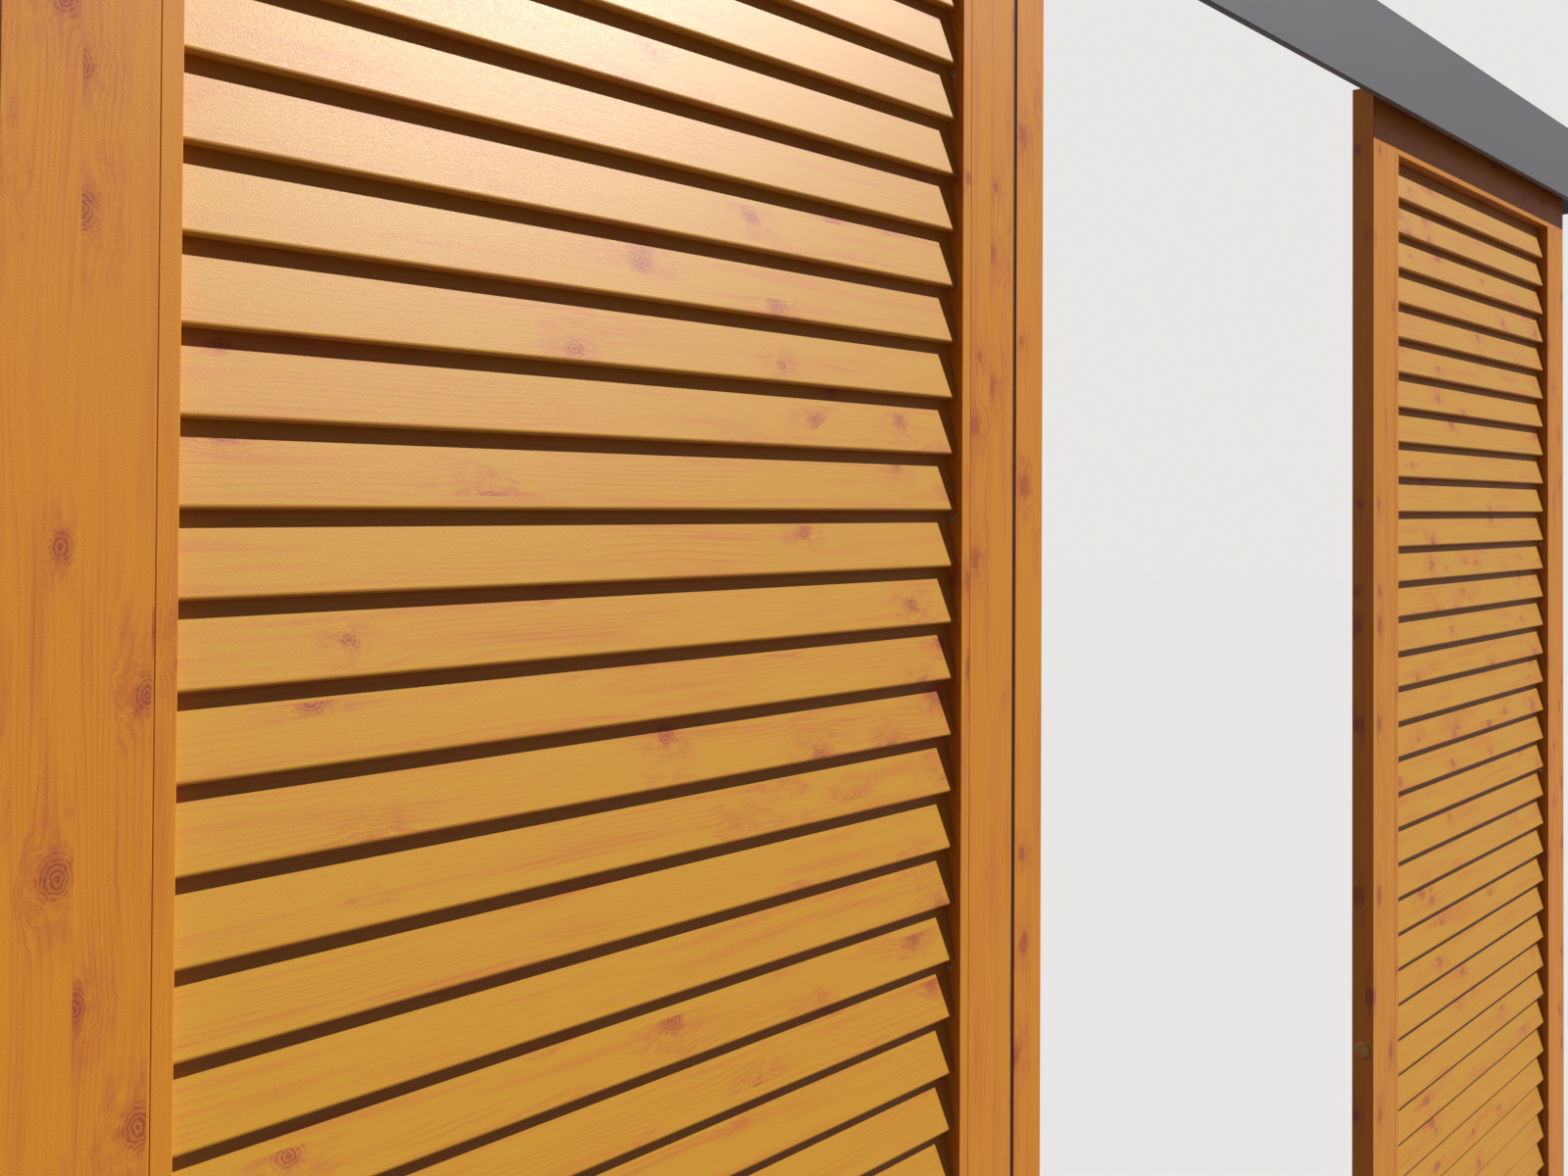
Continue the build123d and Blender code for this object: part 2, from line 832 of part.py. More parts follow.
def stop_clamps():
    """Plates under the track's lips, drawn up against the stop blocks."""
    half = clamp_width / 2
    low = track_bottom - clamp_thickness
    radius = stop_screw_radius + hole_clearance
    clamps = []
    for face, side in stop_places():
        x0, x1 = stop_span(face, side)
        plate = block(x0, x1, leaf_middle - half, leaf_middle + half, low, track_bottom)
        hole = rod_z(low - 1, track_bottom + 1, (x0 + x1) / 2, leaf_middle, radius)
        clamps.append(plate - hole)
    return clamps


def stop_screws():
    """Screws that draw the clamp plates up."""
    seat = track_bottom - clamp_thickness
    tip = lip_top + stop_height / 2 - 1
    size = (stop_screw_radius, stop_screw_head, stop_screw_head_height)
    middles = [sum(stop_span(*place)) / 2 for place in stop_places()]
    return [screw_z(x, leaf_middle, seat, tip, *size) for x in middles]


def stop_buffers():
    """Rubber buffers on the stops' faces."""
    buffers = []
    for face, side in stop_places():
        near = face + side * buffer_length
        z = lip_top + stop_height / 2
        buffers.append(rod_x(min(face, near), max(face, near), leaf_middle, z, buffer_radius))
    return buffers


# Guides under the leaves


def guide_x(side):
    """Middle of the stretch that a leaf covers both when open and when closed."""
    return frame_left[side] + (frame_width - travel) / 2


def guide_bracket(side):
    """Bent steel bracket with one leg on the wall and one under the leaf."""
    top = leaf_bottom - guide_below_leaf
    shape = rect(-bracket_reach, 0, top - bracket_thickness, top)
    shape += rect(-bracket_thickness, 0, top - bracket_drop, top)
    shape = rounded(shape, [corner(0, top)], bracket_bend + bracket_thickness)
    shape = rounded(shape, [corner(-bracket_thickness, top - bracket_thickness)], bracket_bend)
    x = guide_x(side)
    bracket = along_x(shape, x - bracket_width / 2, x + bracket_width / 2)
    for place in (x - bracket_hole_pitch / 2, x + bracket_hole_pitch / 2):
        hole = (place, top - bracket_hole_drop, bracket_hole_radius)
        bracket -= rod_y(-bracket_thickness - 1, 1, *hole)
    radius = guide_screw_radius + hole_clearance
    return bracket - rod_z(top - bracket_thickness - 1, top + 1, x, leaf_middle, radius)


def guide_blocks():
    """Nylon blocks that stand in the groove of each bottom rail."""
    low = leaf_bottom - guide_below_leaf
    high = leaf_bottom + guide_entry
    width = groove_width - 2 * guide_side_gap
    blocks = []
    for side in ("left", "right"):
        section = Pos(guide_x(side), leaf_middle) * RectangleRounded(guide_length, width, guide_rounding)
        body = along_z(section, low, high)
        depth = low + guide_screw_length
        blocks.append(body - rod_z(low - 1, depth, guide_x(side), leaf_middle, guide_screw_radius))
    return blocks


def guide_screws():
    """Screws from below, through the brackets into the guide blocks."""
    seat = leaf_bottom - guide_below_leaf - bracket_thickness
    tip = seat + guide_screw_length
    size = (guide_screw_radius, guide_screw_head, guide_screw_head_height)
    return [screw_z(guide_x(side), leaf_middle, seat, tip, *size) for side in ("left", "right")]


# Whole leaves


def both_edges(pieces):
    """Pieces at a leaf's left edge, with their mirrored copies at its right edge."""
    return pieces + [at_right_edge(piece) for piece in pieces]


def leaf_parts(side):
    """Pieces that both leaves have, placed from the leaf's left edge."""
    first, last = trolley_places
    return {
        "louvres": louvres(),
        "corner_cleats": corner_cleats(),
        "carrier_screws": both_edges(carrier_screws(side)),
        "hanger_plate_1": hanger_plate(first),
        "hanger_plate_2": hanger_plate(last),
        "plate_screws": plate_screws(),
        "hanger_bolts": hanger_bolts(),
        "lock_nuts": lock_nuts(),
        "trolley_1": trolley(first),
        "trolley_2": trolley(last),
        "axles": axles(),
        "wheels_1": wheels(first),
        "wheels_2": wheels(last),
    }


def left_leaf():
    """Pieces of the left leaf, whose right edge carries the closing profile."""
    parts = leaf_parts("left")
    meeting = with_carrier_holes(stile(rebated=True), "left")
    tongue_holes = [Pos(-frame_left["left"], 0, 0) * hole for hole in closing_screw_holes()]
    parts["outer_stile"] = with_carrier_holes(stile(), "left")
    parts["meeting_stile"] = at_right_edge(meeting) - tongue_holes
    parts["top_rail"] = top_rail() - rebate_notch()
    parts["bottom_rail"] = bottom_rail() - rebate_notch()
    parts["outer_carrier"] = carrier("left")
    parts["meeting_carrier"] = at_right_edge(carrier("left"))
    return parts


def right_leaf():
    """Pieces of the right leaf, whose left edge holds the round cap."""
    parts = leaf_parts("right")
    upright = with_carrier_holes(stile(), "right")
    parts["meeting_stile"] = with_cap_hole(upright)
    parts["outer_stile"] = at_right_edge(upright)
    parts["top_rail"] = top_rail()
    parts["bottom_rail"] = bottom_rail()
    parts["meeting_carrier"] = carrier("right")
    parts["outer_carrier"] = at_right_edge(carrier("right"))
    parts["edge_cap"] = edge_cap()
    return parts


def placed(side, parts):
    """A leaf's pieces at their place along the wall, named for their leaf."""
    move = Pos(frame_left[side], 0, 0)
    nodes = {}
    for name, piece in parts.items():
        group = piece if isinstance(piece, list) else [piece]
        nodes[f"{side}_{name}"] = [move * solid for solid in group]
    return nodes


def fixed_parts():
    """Pieces that stay on the wall."""
    return {
        "wall_angle": wall_angle(),
        "running_track": running_track(),
        "track_screws": track_screws(),
        "track_nuts": track_nuts(),
        "fascia_cover": fascia_cover(),
        "fascia_screws": fascia_screws(),
        "fascia_end_cap_left": fascia_end_cap(-1),
        "fascia_end_cap_right": fascia_end_cap(1),
        "track_stops": track_stops(),
        "stop_clamps": stop_clamps(),
        "stop_screws": stop_screws(),
        "stop_buffers": stop_buffers(),
        "guide_bracket_left": guide_bracket("left"),
        "guide_bracket_right": guide_bracket("right"),
        "guide_blocks": guide_blocks(),
        "guide_screws": guide_screws(),
    }


def closing_parts():
    """Pieces at the left leaf's meeting edge, already at their place."""
    return {
        "left_closing_profile": closing_profile(),
        "left_closing_screws": closing_fixings(),
        "left_closing_end_caps": closing_end_caps(),
        "left_gasket": gasket(),
    }


def write(name, piece):
    """One STEP file for a node, which holds one solid or a group of like solids."""
    group = piece if isinstance(piece, list) else [piece]
    solids = [solid for shape in group for solid in shape.solids()]
    node = solids[0] if len(solids) == 1 else Compound(children=solids)
    node.label = name
    export_step(node, f"parts/{name}.step")


def main():
    os.makedirs("parts", exist_ok=True)
    nodes = {**fixed_parts(), **closing_parts()}
    nodes.update(placed("left", left_leaf()))
    nodes.update(placed("right", right_leaf()))
    for name, piece in nodes.items():
        write(name, piece)


main()
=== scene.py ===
import json
import math

import bpy
from mathutils import Matrix, Vector

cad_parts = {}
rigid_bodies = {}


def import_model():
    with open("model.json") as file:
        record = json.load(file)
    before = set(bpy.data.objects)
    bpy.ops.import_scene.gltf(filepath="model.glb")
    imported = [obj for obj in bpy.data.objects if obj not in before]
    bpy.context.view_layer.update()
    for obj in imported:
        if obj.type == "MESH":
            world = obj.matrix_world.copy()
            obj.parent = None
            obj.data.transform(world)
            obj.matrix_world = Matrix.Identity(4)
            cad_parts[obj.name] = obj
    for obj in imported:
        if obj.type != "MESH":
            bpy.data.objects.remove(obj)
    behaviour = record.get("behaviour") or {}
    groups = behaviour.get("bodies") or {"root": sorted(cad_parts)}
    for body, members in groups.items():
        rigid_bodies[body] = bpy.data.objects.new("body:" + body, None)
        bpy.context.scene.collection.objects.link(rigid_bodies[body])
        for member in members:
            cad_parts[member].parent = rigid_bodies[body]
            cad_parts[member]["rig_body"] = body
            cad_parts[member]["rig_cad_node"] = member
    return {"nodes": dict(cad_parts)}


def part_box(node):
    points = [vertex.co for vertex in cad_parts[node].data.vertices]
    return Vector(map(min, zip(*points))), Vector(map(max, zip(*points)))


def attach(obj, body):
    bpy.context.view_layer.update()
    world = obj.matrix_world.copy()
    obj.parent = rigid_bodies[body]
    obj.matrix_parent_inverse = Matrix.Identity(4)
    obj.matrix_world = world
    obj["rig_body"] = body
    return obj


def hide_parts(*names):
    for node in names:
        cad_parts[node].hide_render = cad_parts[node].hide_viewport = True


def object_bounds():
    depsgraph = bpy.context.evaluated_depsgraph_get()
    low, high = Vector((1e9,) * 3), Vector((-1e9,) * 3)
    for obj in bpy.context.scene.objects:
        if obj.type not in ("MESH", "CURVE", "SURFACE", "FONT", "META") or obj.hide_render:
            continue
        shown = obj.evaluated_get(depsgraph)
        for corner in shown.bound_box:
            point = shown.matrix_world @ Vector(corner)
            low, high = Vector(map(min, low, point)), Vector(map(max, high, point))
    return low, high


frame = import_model()

bl_info = {
    "name": "Louvred sliding shutters",
    "version": (1, 0, 0),
    "blender": (4, 5, 0),
    "location": "View3D > Sidebar > Shutters",
    "description": "Builds the visible pieces and finishes of a pair of louvred sliding shutters",
    "category": "Add Mesh",
}

MM = 0.001
MERGE = 0.001 * MM
SIDES = ("left", "right")
CAD_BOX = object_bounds()


# Sizes, colours and the view, as a user would change them


class ShutterSizes(bpy.types.PropertyGroup):
    louvre_count: bpy.props.IntProperty(name="Louvres", description="Blades in each leaf", default=34, min=1)
    louvre_pitch: bpy.props.FloatProperty(
        name="Louvre pitch", description="Height from one blade to the next", default=60 * MM, unit="LENGTH"
    )
    louvre_depth: bpy.props.FloatProperty(
        name="Louvre depth", description="Thickness of a blade, front to back", default=10.2 * MM, unit="LENGTH"
    )
    louvre_lean: bpy.props.FloatProperty(
        name="Louvre lean", description="How far a blade leans over its height", default=14.7 * MM, unit="LENGTH"
    )
    louvre_wall: bpy.props.FloatProperty(
        name="Louvre wall", description="Wall of the hollow blade", default=1.3 * MM, unit="LENGTH"
    )
    nose_radius: bpy.props.FloatProperty(
        name="Nose radius", description="Round front edge at a blade's foot", default=4 * MM, unit="LENGTH"
    )
    blade_edge: bpy.props.FloatProperty(
        name="Blade edge", description="Rounding of a blade's other edges", default=0.5 * MM, unit="LENGTH"
    )
    frame_wall: bpy.props.FloatProperty(
        name="Frame wall", description="Wall of the hollow frame profiles", default=1.8 * MM, unit="LENGTH"
    )
    frame_edge: bpy.props.FloatProperty(
        name="Frame edge", description="Rounding along the frame profiles", default=1 * MM, unit="LENGTH"
    )
    mitre_edge: bpy.props.FloatProperty(
        name="Mitre edge", description="Fine bevel on both sides of a mitre", default=0.35 * MM, unit="LENGTH"
    )
    rebate_width: bpy.props.FloatProperty(
        name="Rebate width", description="Width of the meeting edge's rebate", default=15 * MM, unit="LENGTH"
    )
    rebate_depth: bpy.props.FloatProperty(
        name="Rebate depth", description="Depth of the meeting edge's rebate", default=12 * MM, unit="LENGTH"
    )
    cover_wall: bpy.props.FloatProperty(
        name="Cover wall", description="Sheet thickness of the rail's cover", default=2 * MM, unit="LENGTH"
    )
    cover_lip: bpy.props.FloatProperty(
        name="Cover lip", description="Lip at the cover's lower edge", default=10 * MM, unit="LENGTH"
    )
    cover_bend: bpy.props.FloatProperty(
        name="Cover bend", description="Outer radius of the cover's bends", default=2 * MM, unit="LENGTH"
    )
    cover_leg: bpy.props.FloatProperty(
        name="Cover leg", description="Leg that hooks the cover on the rail", default=15 * MM, unit="LENGTH"
    )
    leg_gap: bpy.props.FloatProperty(
        name="Leg gap", description="From the wall to the cover's leg", default=4 * MM, unit="LENGTH"
    )
    gasket_rise: bpy.props.FloatProperty(
        name="Gasket rise", description="How far the gasket's front bulges out", default=2.5 * MM, unit="LENGTH"
    )
    gasket_round: bpy.props.FloatProperty(
        name="Gasket round", description="Radius of the gasket's front corners", default=1.5 * MM, unit="LENGTH"
    )
    head_height: bpy.props.FloatProperty(
        name="Head height", description="Height of the screw heads on the beads", default=1.3 * MM, unit="LENGTH"
    )
    soft_edge: bpy.props.FloatProperty(
        name="Soft edge", description="Rounding of the small parts' edges", default=0.3 * MM, unit="LENGTH"
    )


class ShutterColours(bpy.types.PropertyGroup):
    stile: bpy.props.StringProperty(
        name="Stile ground", description="Ground of the pine print on stiles and rails, as hex", default="CE8822"
    )
    louvre: bpy.props.StringProperty(
        name="Louvre ground", description="Ground of the pine print on the louvres, as hex", default="BB8B24"
    )
    grain: bpy.props.StringProperty(
        name="Grain", description="Late wood lines of the print, as hex", default="B8622C"
    )
    knot: bpy.props.StringProperty(name="Knot", description="Knots of the print, as hex", default="B05834")
    heart: bpy.props.StringProperty(name="Heart", description="Darkest lines in a knot, as hex", default="8A3C28")
    cover: bpy.props.StringProperty(name="Cover", description="Grey coat of the cover, as hex", default="606468")
    cap: bpy.props.StringProperty(name="Cap", description="Moulded round cap, as hex", default="CFA054")


class ShutterView(bpy.types.PropertyGroup):
    eye: bpy.props.FloatVectorProperty(
        name="Eye", description="Where the camera stands", default=(-1.391, -0.975, -0.786), subtype="TRANSLATION"
    )
    turn: bpy.props.FloatProperty(
        name="Turn", description="Camera's heading, from X towards Y", default=math.radians(43.6), unit="ROTATION"
    )
    tilt: bpy.props.FloatProperty(
        name="Tilt", description="Camera's rise above the horizon", default=math.radians(0.72), unit="ROTATION"
    )
    roll: bpy.props.FloatProperty(
        name="Roll", description="Camera's turn about its own axis", default=math.radians(0.32), unit="ROTATION"
    )
    focal: bpy.props.FloatProperty(
        name="Focal length", description="Lens on a 36 mm wide sensor, in millimetres", default=32.76
    )
    shift: bpy.props.FloatProperty(
        name="Shift", description="Vertical shift, as a share of the width", default=-0.0637
    )
    sun: bpy.props.FloatVectorProperty(
        name="Sun", description="Way towards the key lamp", default=(0.553, -0.469, 0.689), subtype="DIRECTION"
    )
    fill: bpy.props.FloatVectorProperty(
        name="Fill", description="Way towards the fill lamp", default=(-0.35, 0.7, 0.62), subtype="DIRECTION"
    )


# Selecting and shaping


def deselect():
    if bpy.context.object and bpy.context.object.mode != "OBJECT":
        bpy.ops.object.mode_set(mode="OBJECT")
    bpy.ops.object.select_all(action="DESELECT")


def only(piece):
    """Makes a piece the only one selected, and the active one."""
    deselect()
    piece.select_set(True)
    bpy.context.view_layer.objects.active = piece


def choose(piece, kind, test):
    """Enters edit mode with the edges or faces selected that pass a test."""
    only(piece)
    mesh = piece.data
    for group in (mesh.vertices, mesh.edges, mesh.polygons):
        group.foreach_set("select", [False] * len(group))
    places = [vertex.co for vertex in mesh.vertices]
    if kind == "EDGE":
        for edge in mesh.edges:
            edge.select = test(*[places[i] for i in edge.vertices])
    else:
        for face in mesh.polygons:
            face.select = test(face.center, face.normal)
    bpy.context.tool_settings.mesh_select_mode = [kind == name for name in ("VERT", "EDGE", "FACE")]
    bpy.ops.object.mode_set(mode="EDIT")


def near(a, b, reach=0.05 * MM):
    return abs(a - b) < reach


def bevel(piece, test, width, segments):
    """Rounds the edges that pass a test."""
    choose(piece, "EDGE", test)
    bpy.ops.mesh.bevel(offset=width, segments=segments, affect="EDGES", clamp_overlap=False)
    bpy.ops.object.mode_set(mode="OBJECT")


def remove_faces(piece, test):
    choose(piece, "FACE", test)
    bpy.ops.mesh.delete(type="FACE")
    bpy.ops.object.mode_set(mode="OBJECT")


def split(piece, place, normal, clear=False):
    """Cuts a piece by a plane, and if asked takes away what lies before it and closes the cut."""
    choose(piece, "FACE", lambda centre, way: True)
    bpy.ops.mesh.bisect(plane_co=place, plane_no=normal, use_fill=clear, clear_outer=clear, threshold=MERGE)
    bpy.ops.object.mode_set(mode="OBJECT")


def push(piece, test, move):
    """Extrudes the faces that pass a test."""
    choose(piece, "FACE", test)
    bpy.ops.mesh.extrude_region_move(TRANSFORM_OT_translate={"value": move})
    bpy.ops.object.mode_set(mode="OBJECT")


def apply_modifier(piece, kind, **settings):
    only(piece)
    modifier = piece.modifiers.new(kind.title(), kind)
    for name, value in settings.items():
        setattr(modifier, name, value)
    bpy.ops.object.modifier_apply(modifier=modifier.name)


def hollow(piece, wall):
    """Gives an open shell its wall, inwards."""
    apply_modifier(piece, "SOLIDIFY", thickness=wall, offset=-1, use_even_offset=True)


def smooth(piece, angle=math.radians(35)):
    """Shades rounds smoothly and keeps flats flat."""
    only(piece)
    bpy.ops.object.shade_smooth_by_angle(angle=angle)
    apply_modifier(piece, "WEIGHTED_NORMAL", keep_sharp=True, weight=100)


def block(name, low, high):
    """Block between two corners, with its place in its mesh."""
    deselect()
    low, high = Vector(low), Vector(high)
    bpy.ops.mesh.primitive_cube_add(size=1, location=(low + high) / 2)
    piece = bpy.context.object
    piece.name = name
    piece.data.name = name
    piece.scale = high - low
    bpy.ops.object.transform_apply(location=True, rotation=False, scale=True)
    return piece


def copy_of(piece, name, move=(0, 0, 0)):
    """Copy with a mesh of its own, moved, with its place in its mesh."""
    only(piece)
    bpy.ops.object.duplicate()
    twin = bpy.context.object
    twin.name = name
    twin.data.name = name
    twin.location = move
    bpy.ops.object.transform_apply(location=True, rotation=False, scale=False)
    return twin


def number_board(piece, number):
    """Marks a piece, so that its grain differs from its neighbours'."""
    mark = piece.data.attributes.new("board", "FLOAT", "POINT")
    mark.data.foreach_set("value", [float(number)] * len(piece.data.vertices))


def hand_over(piece, body, slot, material, *nodes):
    """Gives a finished piece its material and puts it on its body, in place of its engineering solids."""
    piece.data.materials.clear()
    piece.data.materials.append(material)
    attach(piece, body)
    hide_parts(*nodes)


# Materials


def linear(code):
    """Linear colour of an sRGB hex value."""
    values = [int(code[i : i + 2], 16) / 255 for i in (0, 2, 4)]
    return [v / 12.92 if v <= 0.04045 else ((v + 0.055) / 1.055) ** 2.4 for v in values] + [1]


def add(tree, kind, inputs=(), out=0, **settings):
    """Adds a node with its settings, gives its inputs values or links, by place or name, and returns an output."""
    node = tree.nodes.new("ShaderNode" + kind)
    for name, value in settings.items():
        setattr(node, name, value)
    shown = [socket for socket in node.inputs if socket.enabled]
    for key, value in inputs.items() if isinstance(inputs, dict) else enumerate(inputs):
        socket = shown[key] if isinstance(key, int) else node.inputs[key]
        if isinstance(value, bpy.types.NodeSocket):
            tree.links.new(value, socket)
        else:
            socket.default_value = value
    if isinstance(out, str):
        return node.outputs[out]
    return [socket for socket in node.outputs if socket.enabled][out]


def material_of(name, build):
    """Material of that name, built once: its function adds the nodes and returns the shader's inputs."""
    material = bpy.data.materials.get(name)
    if material is None:
        material = bpy.data.materials.new(name)
        material.use_nodes = True
        tree = material.node_tree
        shader = tree.nodes["Principled BSDF"]
        for key, value in build(tree).items():
            if isinstance(value, bpy.types.NodeSocket):
                tree.links.new(value, shader.inputs[key])
            else:
                shader.inputs[key].default_value = value
    return material


def pine_print(tree, across_way, along_way, ground, knot_share):
    """A pine print's colour and place: staves of unlike boards, late wood lines round knots, fine fibres."""
    colours = bpy.context.scene.shutter_colours
    place = add(tree, "TexCoord", out="Object")
    board = add(tree, "Attribute", attribute_name="board", out="Fac")
    grain_colour, knot_colour, heart_colour = [linear(c) for c in (colours.grain, colours.knot, colours.heart)]

    # Millimetres across and along the grain, other ones for each piece
    across = add(tree, "VectorMath", (place, [v / MM for v in across_way]), out="Value", operation="DOT_PRODUCT")
    along = add(tree, "VectorMath", (place, [v / MM for v in along_way]), out="Value", operation="DOT_PRODUCT")
    across = add(tree, "Math", (board, 137.0, across), operation="MULTIPLY_ADD")
    along = add(tree, "Math", (board, 731.0, along), operation="MULTIPLY_ADD")

    # Staves of about 40 mm, each cut from another stretch of the pattern
    stave_place = add(tree, "Math", (across, 40.0), operation="DIVIDE")
    stave = add(tree, "TexVoronoi", (stave_place, 1.0), out="Color", voronoi_dimensions="1D")
    stave_parts = add(tree, "SeparateColor", (stave,)).node.outputs
    across = add(tree, "Math", (stave_parts[0], 310.0, across), operation="MULTIPLY_ADD")
    along = add(tree, "Math", (stave_parts[1], 970.0, along), operation="MULTIPLY_ADD")

    def plane(width, length, seed):
        """Coordinates in which a figure is about 1 wide and 1 long."""
        x = add(tree, "Math", (across, width), operation="DIVIDE")
        y = add(tree, "Math", (along, length), operation="DIVIDE")
        return add(tree, "CombineXYZ", (x, y, seed))

    # Knots 10 to 26 mm wide and 1.3 times as long, one to a cell of 46 by 150 mm at most, ragged at the rim
    cell = (46.0, 150.0)
    cells = plane(*cell, 0.0)
    knots = add(tree, "TexVoronoi", (cells, 1.0), out="Color", voronoi_dimensions="2D").node
    chance = add(tree, "SeparateColor", (knots.outputs["Color"],)).node.outputs
    present = add(tree, "Math", (chance[0], knot_share), operation="LESS_THAN")
    radius = add(tree, "Math", (chance[1], 8.0, 5.0), operation="MULTIPLY_ADD")
    offset = add(tree, "VectorMath", (cells, knots.outputs["Position"]), operation="SUBTRACT")
    offset = add(tree, "VectorMath", (offset, (cell[0], cell[1] / 1.3, 0.0)), operation="MULTIPLY")
    way = add(tree, "VectorMath", (offset,), operation="NORMALIZE")
    way = add(tree, "VectorMath", (way, knots.outputs["Color"]), operation="ADD")
    ragged = add(tree, "TexNoise", (way, 2.2, 2.0, 0.6))
    ragged = add(tree, "Math", (ragged, 1.5, 0.35), operation="MULTIPLY_ADD")
    radius = add(tree, "Math", (radius, ragged), operation="MULTIPLY")
    distance = add(tree, "VectorMath", (offset,), out="Value", operation="LENGTH")
    frayed = add(tree, "TexNoise", (plane(4.0, 6.0, 29.0), 1.0, 3.0, 0.65))
    frayed = add(tree, "Math", (frayed, 0.5), operation="SUBTRACT")
    frayed = add(tree, "Math", (frayed, 13.0, distance), operation="MULTIPLY_ADD")
    reach = add(tree, "Math", (frayed, radius), operation="DIVIDE")
    core = add(tree, "MapRange", (reach, 0.3, 1.25, 1.0, 0.0), interpolation_type="SMOOTHSTEP")
    core = add(tree, "Math", (core, present), operation="MULTIPLY")
    halo = add(tree, "MapRange", (reach, 0.8, 4.5, 1.0, 0.0), interpolation_type="SMOOTHSTEP")
    halo = add(tree, "Math", (halo, present), operation="MULTIPLY")

    # Late wood lines 3 to 7 mm apart, which drift along the board and part round a knot
    drift = add(tree, "TexNoise", (plane(70.0, 420.0, 3.0), 1.0, 1.0, 0.5))
    spread = add(tree, "TexNoise", (plane(24.0, 900.0, 7.0), 1.0, 1.0, 0.5))
    waver = add(tree, "TexNoise", (plane(12.0, 90.0, 13.0), 1.0, 1.0, 0.5))
    push_away = add(tree, "Math", (reach, 1.0), operation="MAXIMUM")
    push_away = add(tree, "Math", (push_away, -2.0), operation="POWER")
    push_away = add(tree, "Math", (push_away, present), operation="MULTIPLY")
    sideways = add(tree, "SeparateXYZ", (offset,))
    push_away = add(tree, "Math", (push_away, sideways), operation="MULTIPLY")
    line = add(tree, "Math", (across, push_away), operation="SUBTRACT")
    line = add(tree, "Math", (drift, 36.0, line), operation="MULTIPLY_ADD")
    line = add(tree, "Math", (spread, 18.0, line), operation="MULTIPLY_ADD")
    line = add(tree, "Math", (waver, 2.5, line), operation="MULTIPLY_ADD")
    line = add(tree, "Math", (line, 5.0), operation="DIVIDE")
    phase = add(tree, "Math", (line,), operation="FRACT")
    late = add(tree, "Math", (phase, 3.0), operation="POWER")
    edge = add(tree, "Math", (phase, 16.0), operation="POWER")
    edge = add(tree, "Math", (1.0, edge), operation="SUBTRACT")
    late = add(tree, "Math", (late, edge), operation="MULTIPLY")

    # Where the lines stand out: in bundles, and near the knots
    bundle = add(tree, "TexNoise", (plane(36.0, 320.0, 11.0), 1.0, 1.0, 0.5))
    bundle = add(tree, "MapRange", (bundle, 0.44, 0.62, 0.12, 0.62), interpolation_type="SMOOTHSTEP")
    bundle = add(tree, "Math", (halo, 0.42, bundle), operation="MULTIPLY_ADD")
    late = add(tree, "Math", (late, bundle), operation="MULTIPLY")

    # Fibres are finer than 0.5 mm; they are drawn 1.3 mm wide so that they show, with broader streaks of 15 mm
    fibre = add(tree, "TexNoise", (plane(1.3, 70.0, 5.0), 1.0, 2.0, 0.6))
    fibre = add(tree, "MapRange", (fibre, 0.35, 0.7, 0.0, 0.16))
    streak = add(tree, "TexNoise", (plane(15.0, 240.0, 17.0), 1.0, 2.0, 0.5))
    streak = add(tree, "MapRange", (streak, 0.5, 0.72, 0.0, 0.34), interpolation_type="SMOOTHSTEP")
    grain = add(tree, "Math", (late, fibre), operation="ADD")
    grain = add(tree, "Math", (grain, streak), operation="ADD", use_clamp=True)
    colour = add(tree, "Mix", (grain, linear(ground), grain_colour), data_type="RGBA")

    # Knots: a reddish blush round a ragged core with broken rings
    blush = add(tree, "TexNoise", (plane(9.0, 22.0, 19.0), 1.0, 2.0, 0.6))
    blush = add(tree, "MapRange", (blush, 0.35, 0.7, 0.0, 0.5), interpolation_type="SMOOTHSTEP")
    blush = add(tree, "Math", (blush, halo), operation="MULTIPLY")
    colour = add(tree, "Mix", (blush, colour, knot_colour), data_type="RGBA")
    turn = add(tree, "TexNoise", (plane(5.0, 6.0, 23.0), 1.0, 2.0, 0.6))
    turn = add(tree, "Math", (turn, 11.0), operation="MULTIPLY")
    turn = add(tree, "Math", (distance, 2.2, turn), operation="MULTIPLY_ADD")
    turn = add(tree, "Math", (turn,), operation="SINE")
    turn = add(tree, "Math", (turn, 0.4, 0.42), operation="MULTIPLY_ADD")
    turn = add(tree, "Math", (turn, core), operation="MULTIPLY")
    shade = add(tree, "Math", (core, 0.36), operation="MULTIPLY")
    colour = add(tree, "Mix", (shade, colour, knot_colour), data_type="RGBA")
    return add(tree, "Mix", (turn, colour, heart_colour), data_type="RGBA"), place


def pine_coat(name, across_way, along_way, ground, knot_share):
    """Polyester powder coat with a pine print sublimated into it: satin, fine-gritted and flat over the grain."""

    def build(tree):
        colour, place = pine_print(tree, across_way, along_way, ground, knot_share)
        # Powder grit is finer than 0.5 mm; it is drawn at 1.3 mm so that its glitter shows
        grit = add(tree, "TexNoise", (place, 1 / (1.3 * MM), 2.0, 0.7))
        bump = add(tree, "Bump", {"Height": grit, "Strength": 0.8, "Distance": 0.15 * MM})
        rough = add(tree, "Math", (grit, 0.3, 0.31), operation="MULTIPLY_ADD")
        return {"Base Color": colour, "Normal": bump, "Roughness": rough, "IOR": 1.5}

    return material_of(name, build)


def upright_coat():
    ground = bpy.context.scene.shutter_colours.stile
    return pine_coat("pine_powder_coat_upright", (1, 1, 0), (0, 0, 1), ground, 0.36)


def level_coat():
    ground = bpy.context.scene.shutter_colours.stile
    return pine_coat("pine_powder_coat_level", (0, -1, 1), (1, 0, 0), ground, 0.42)


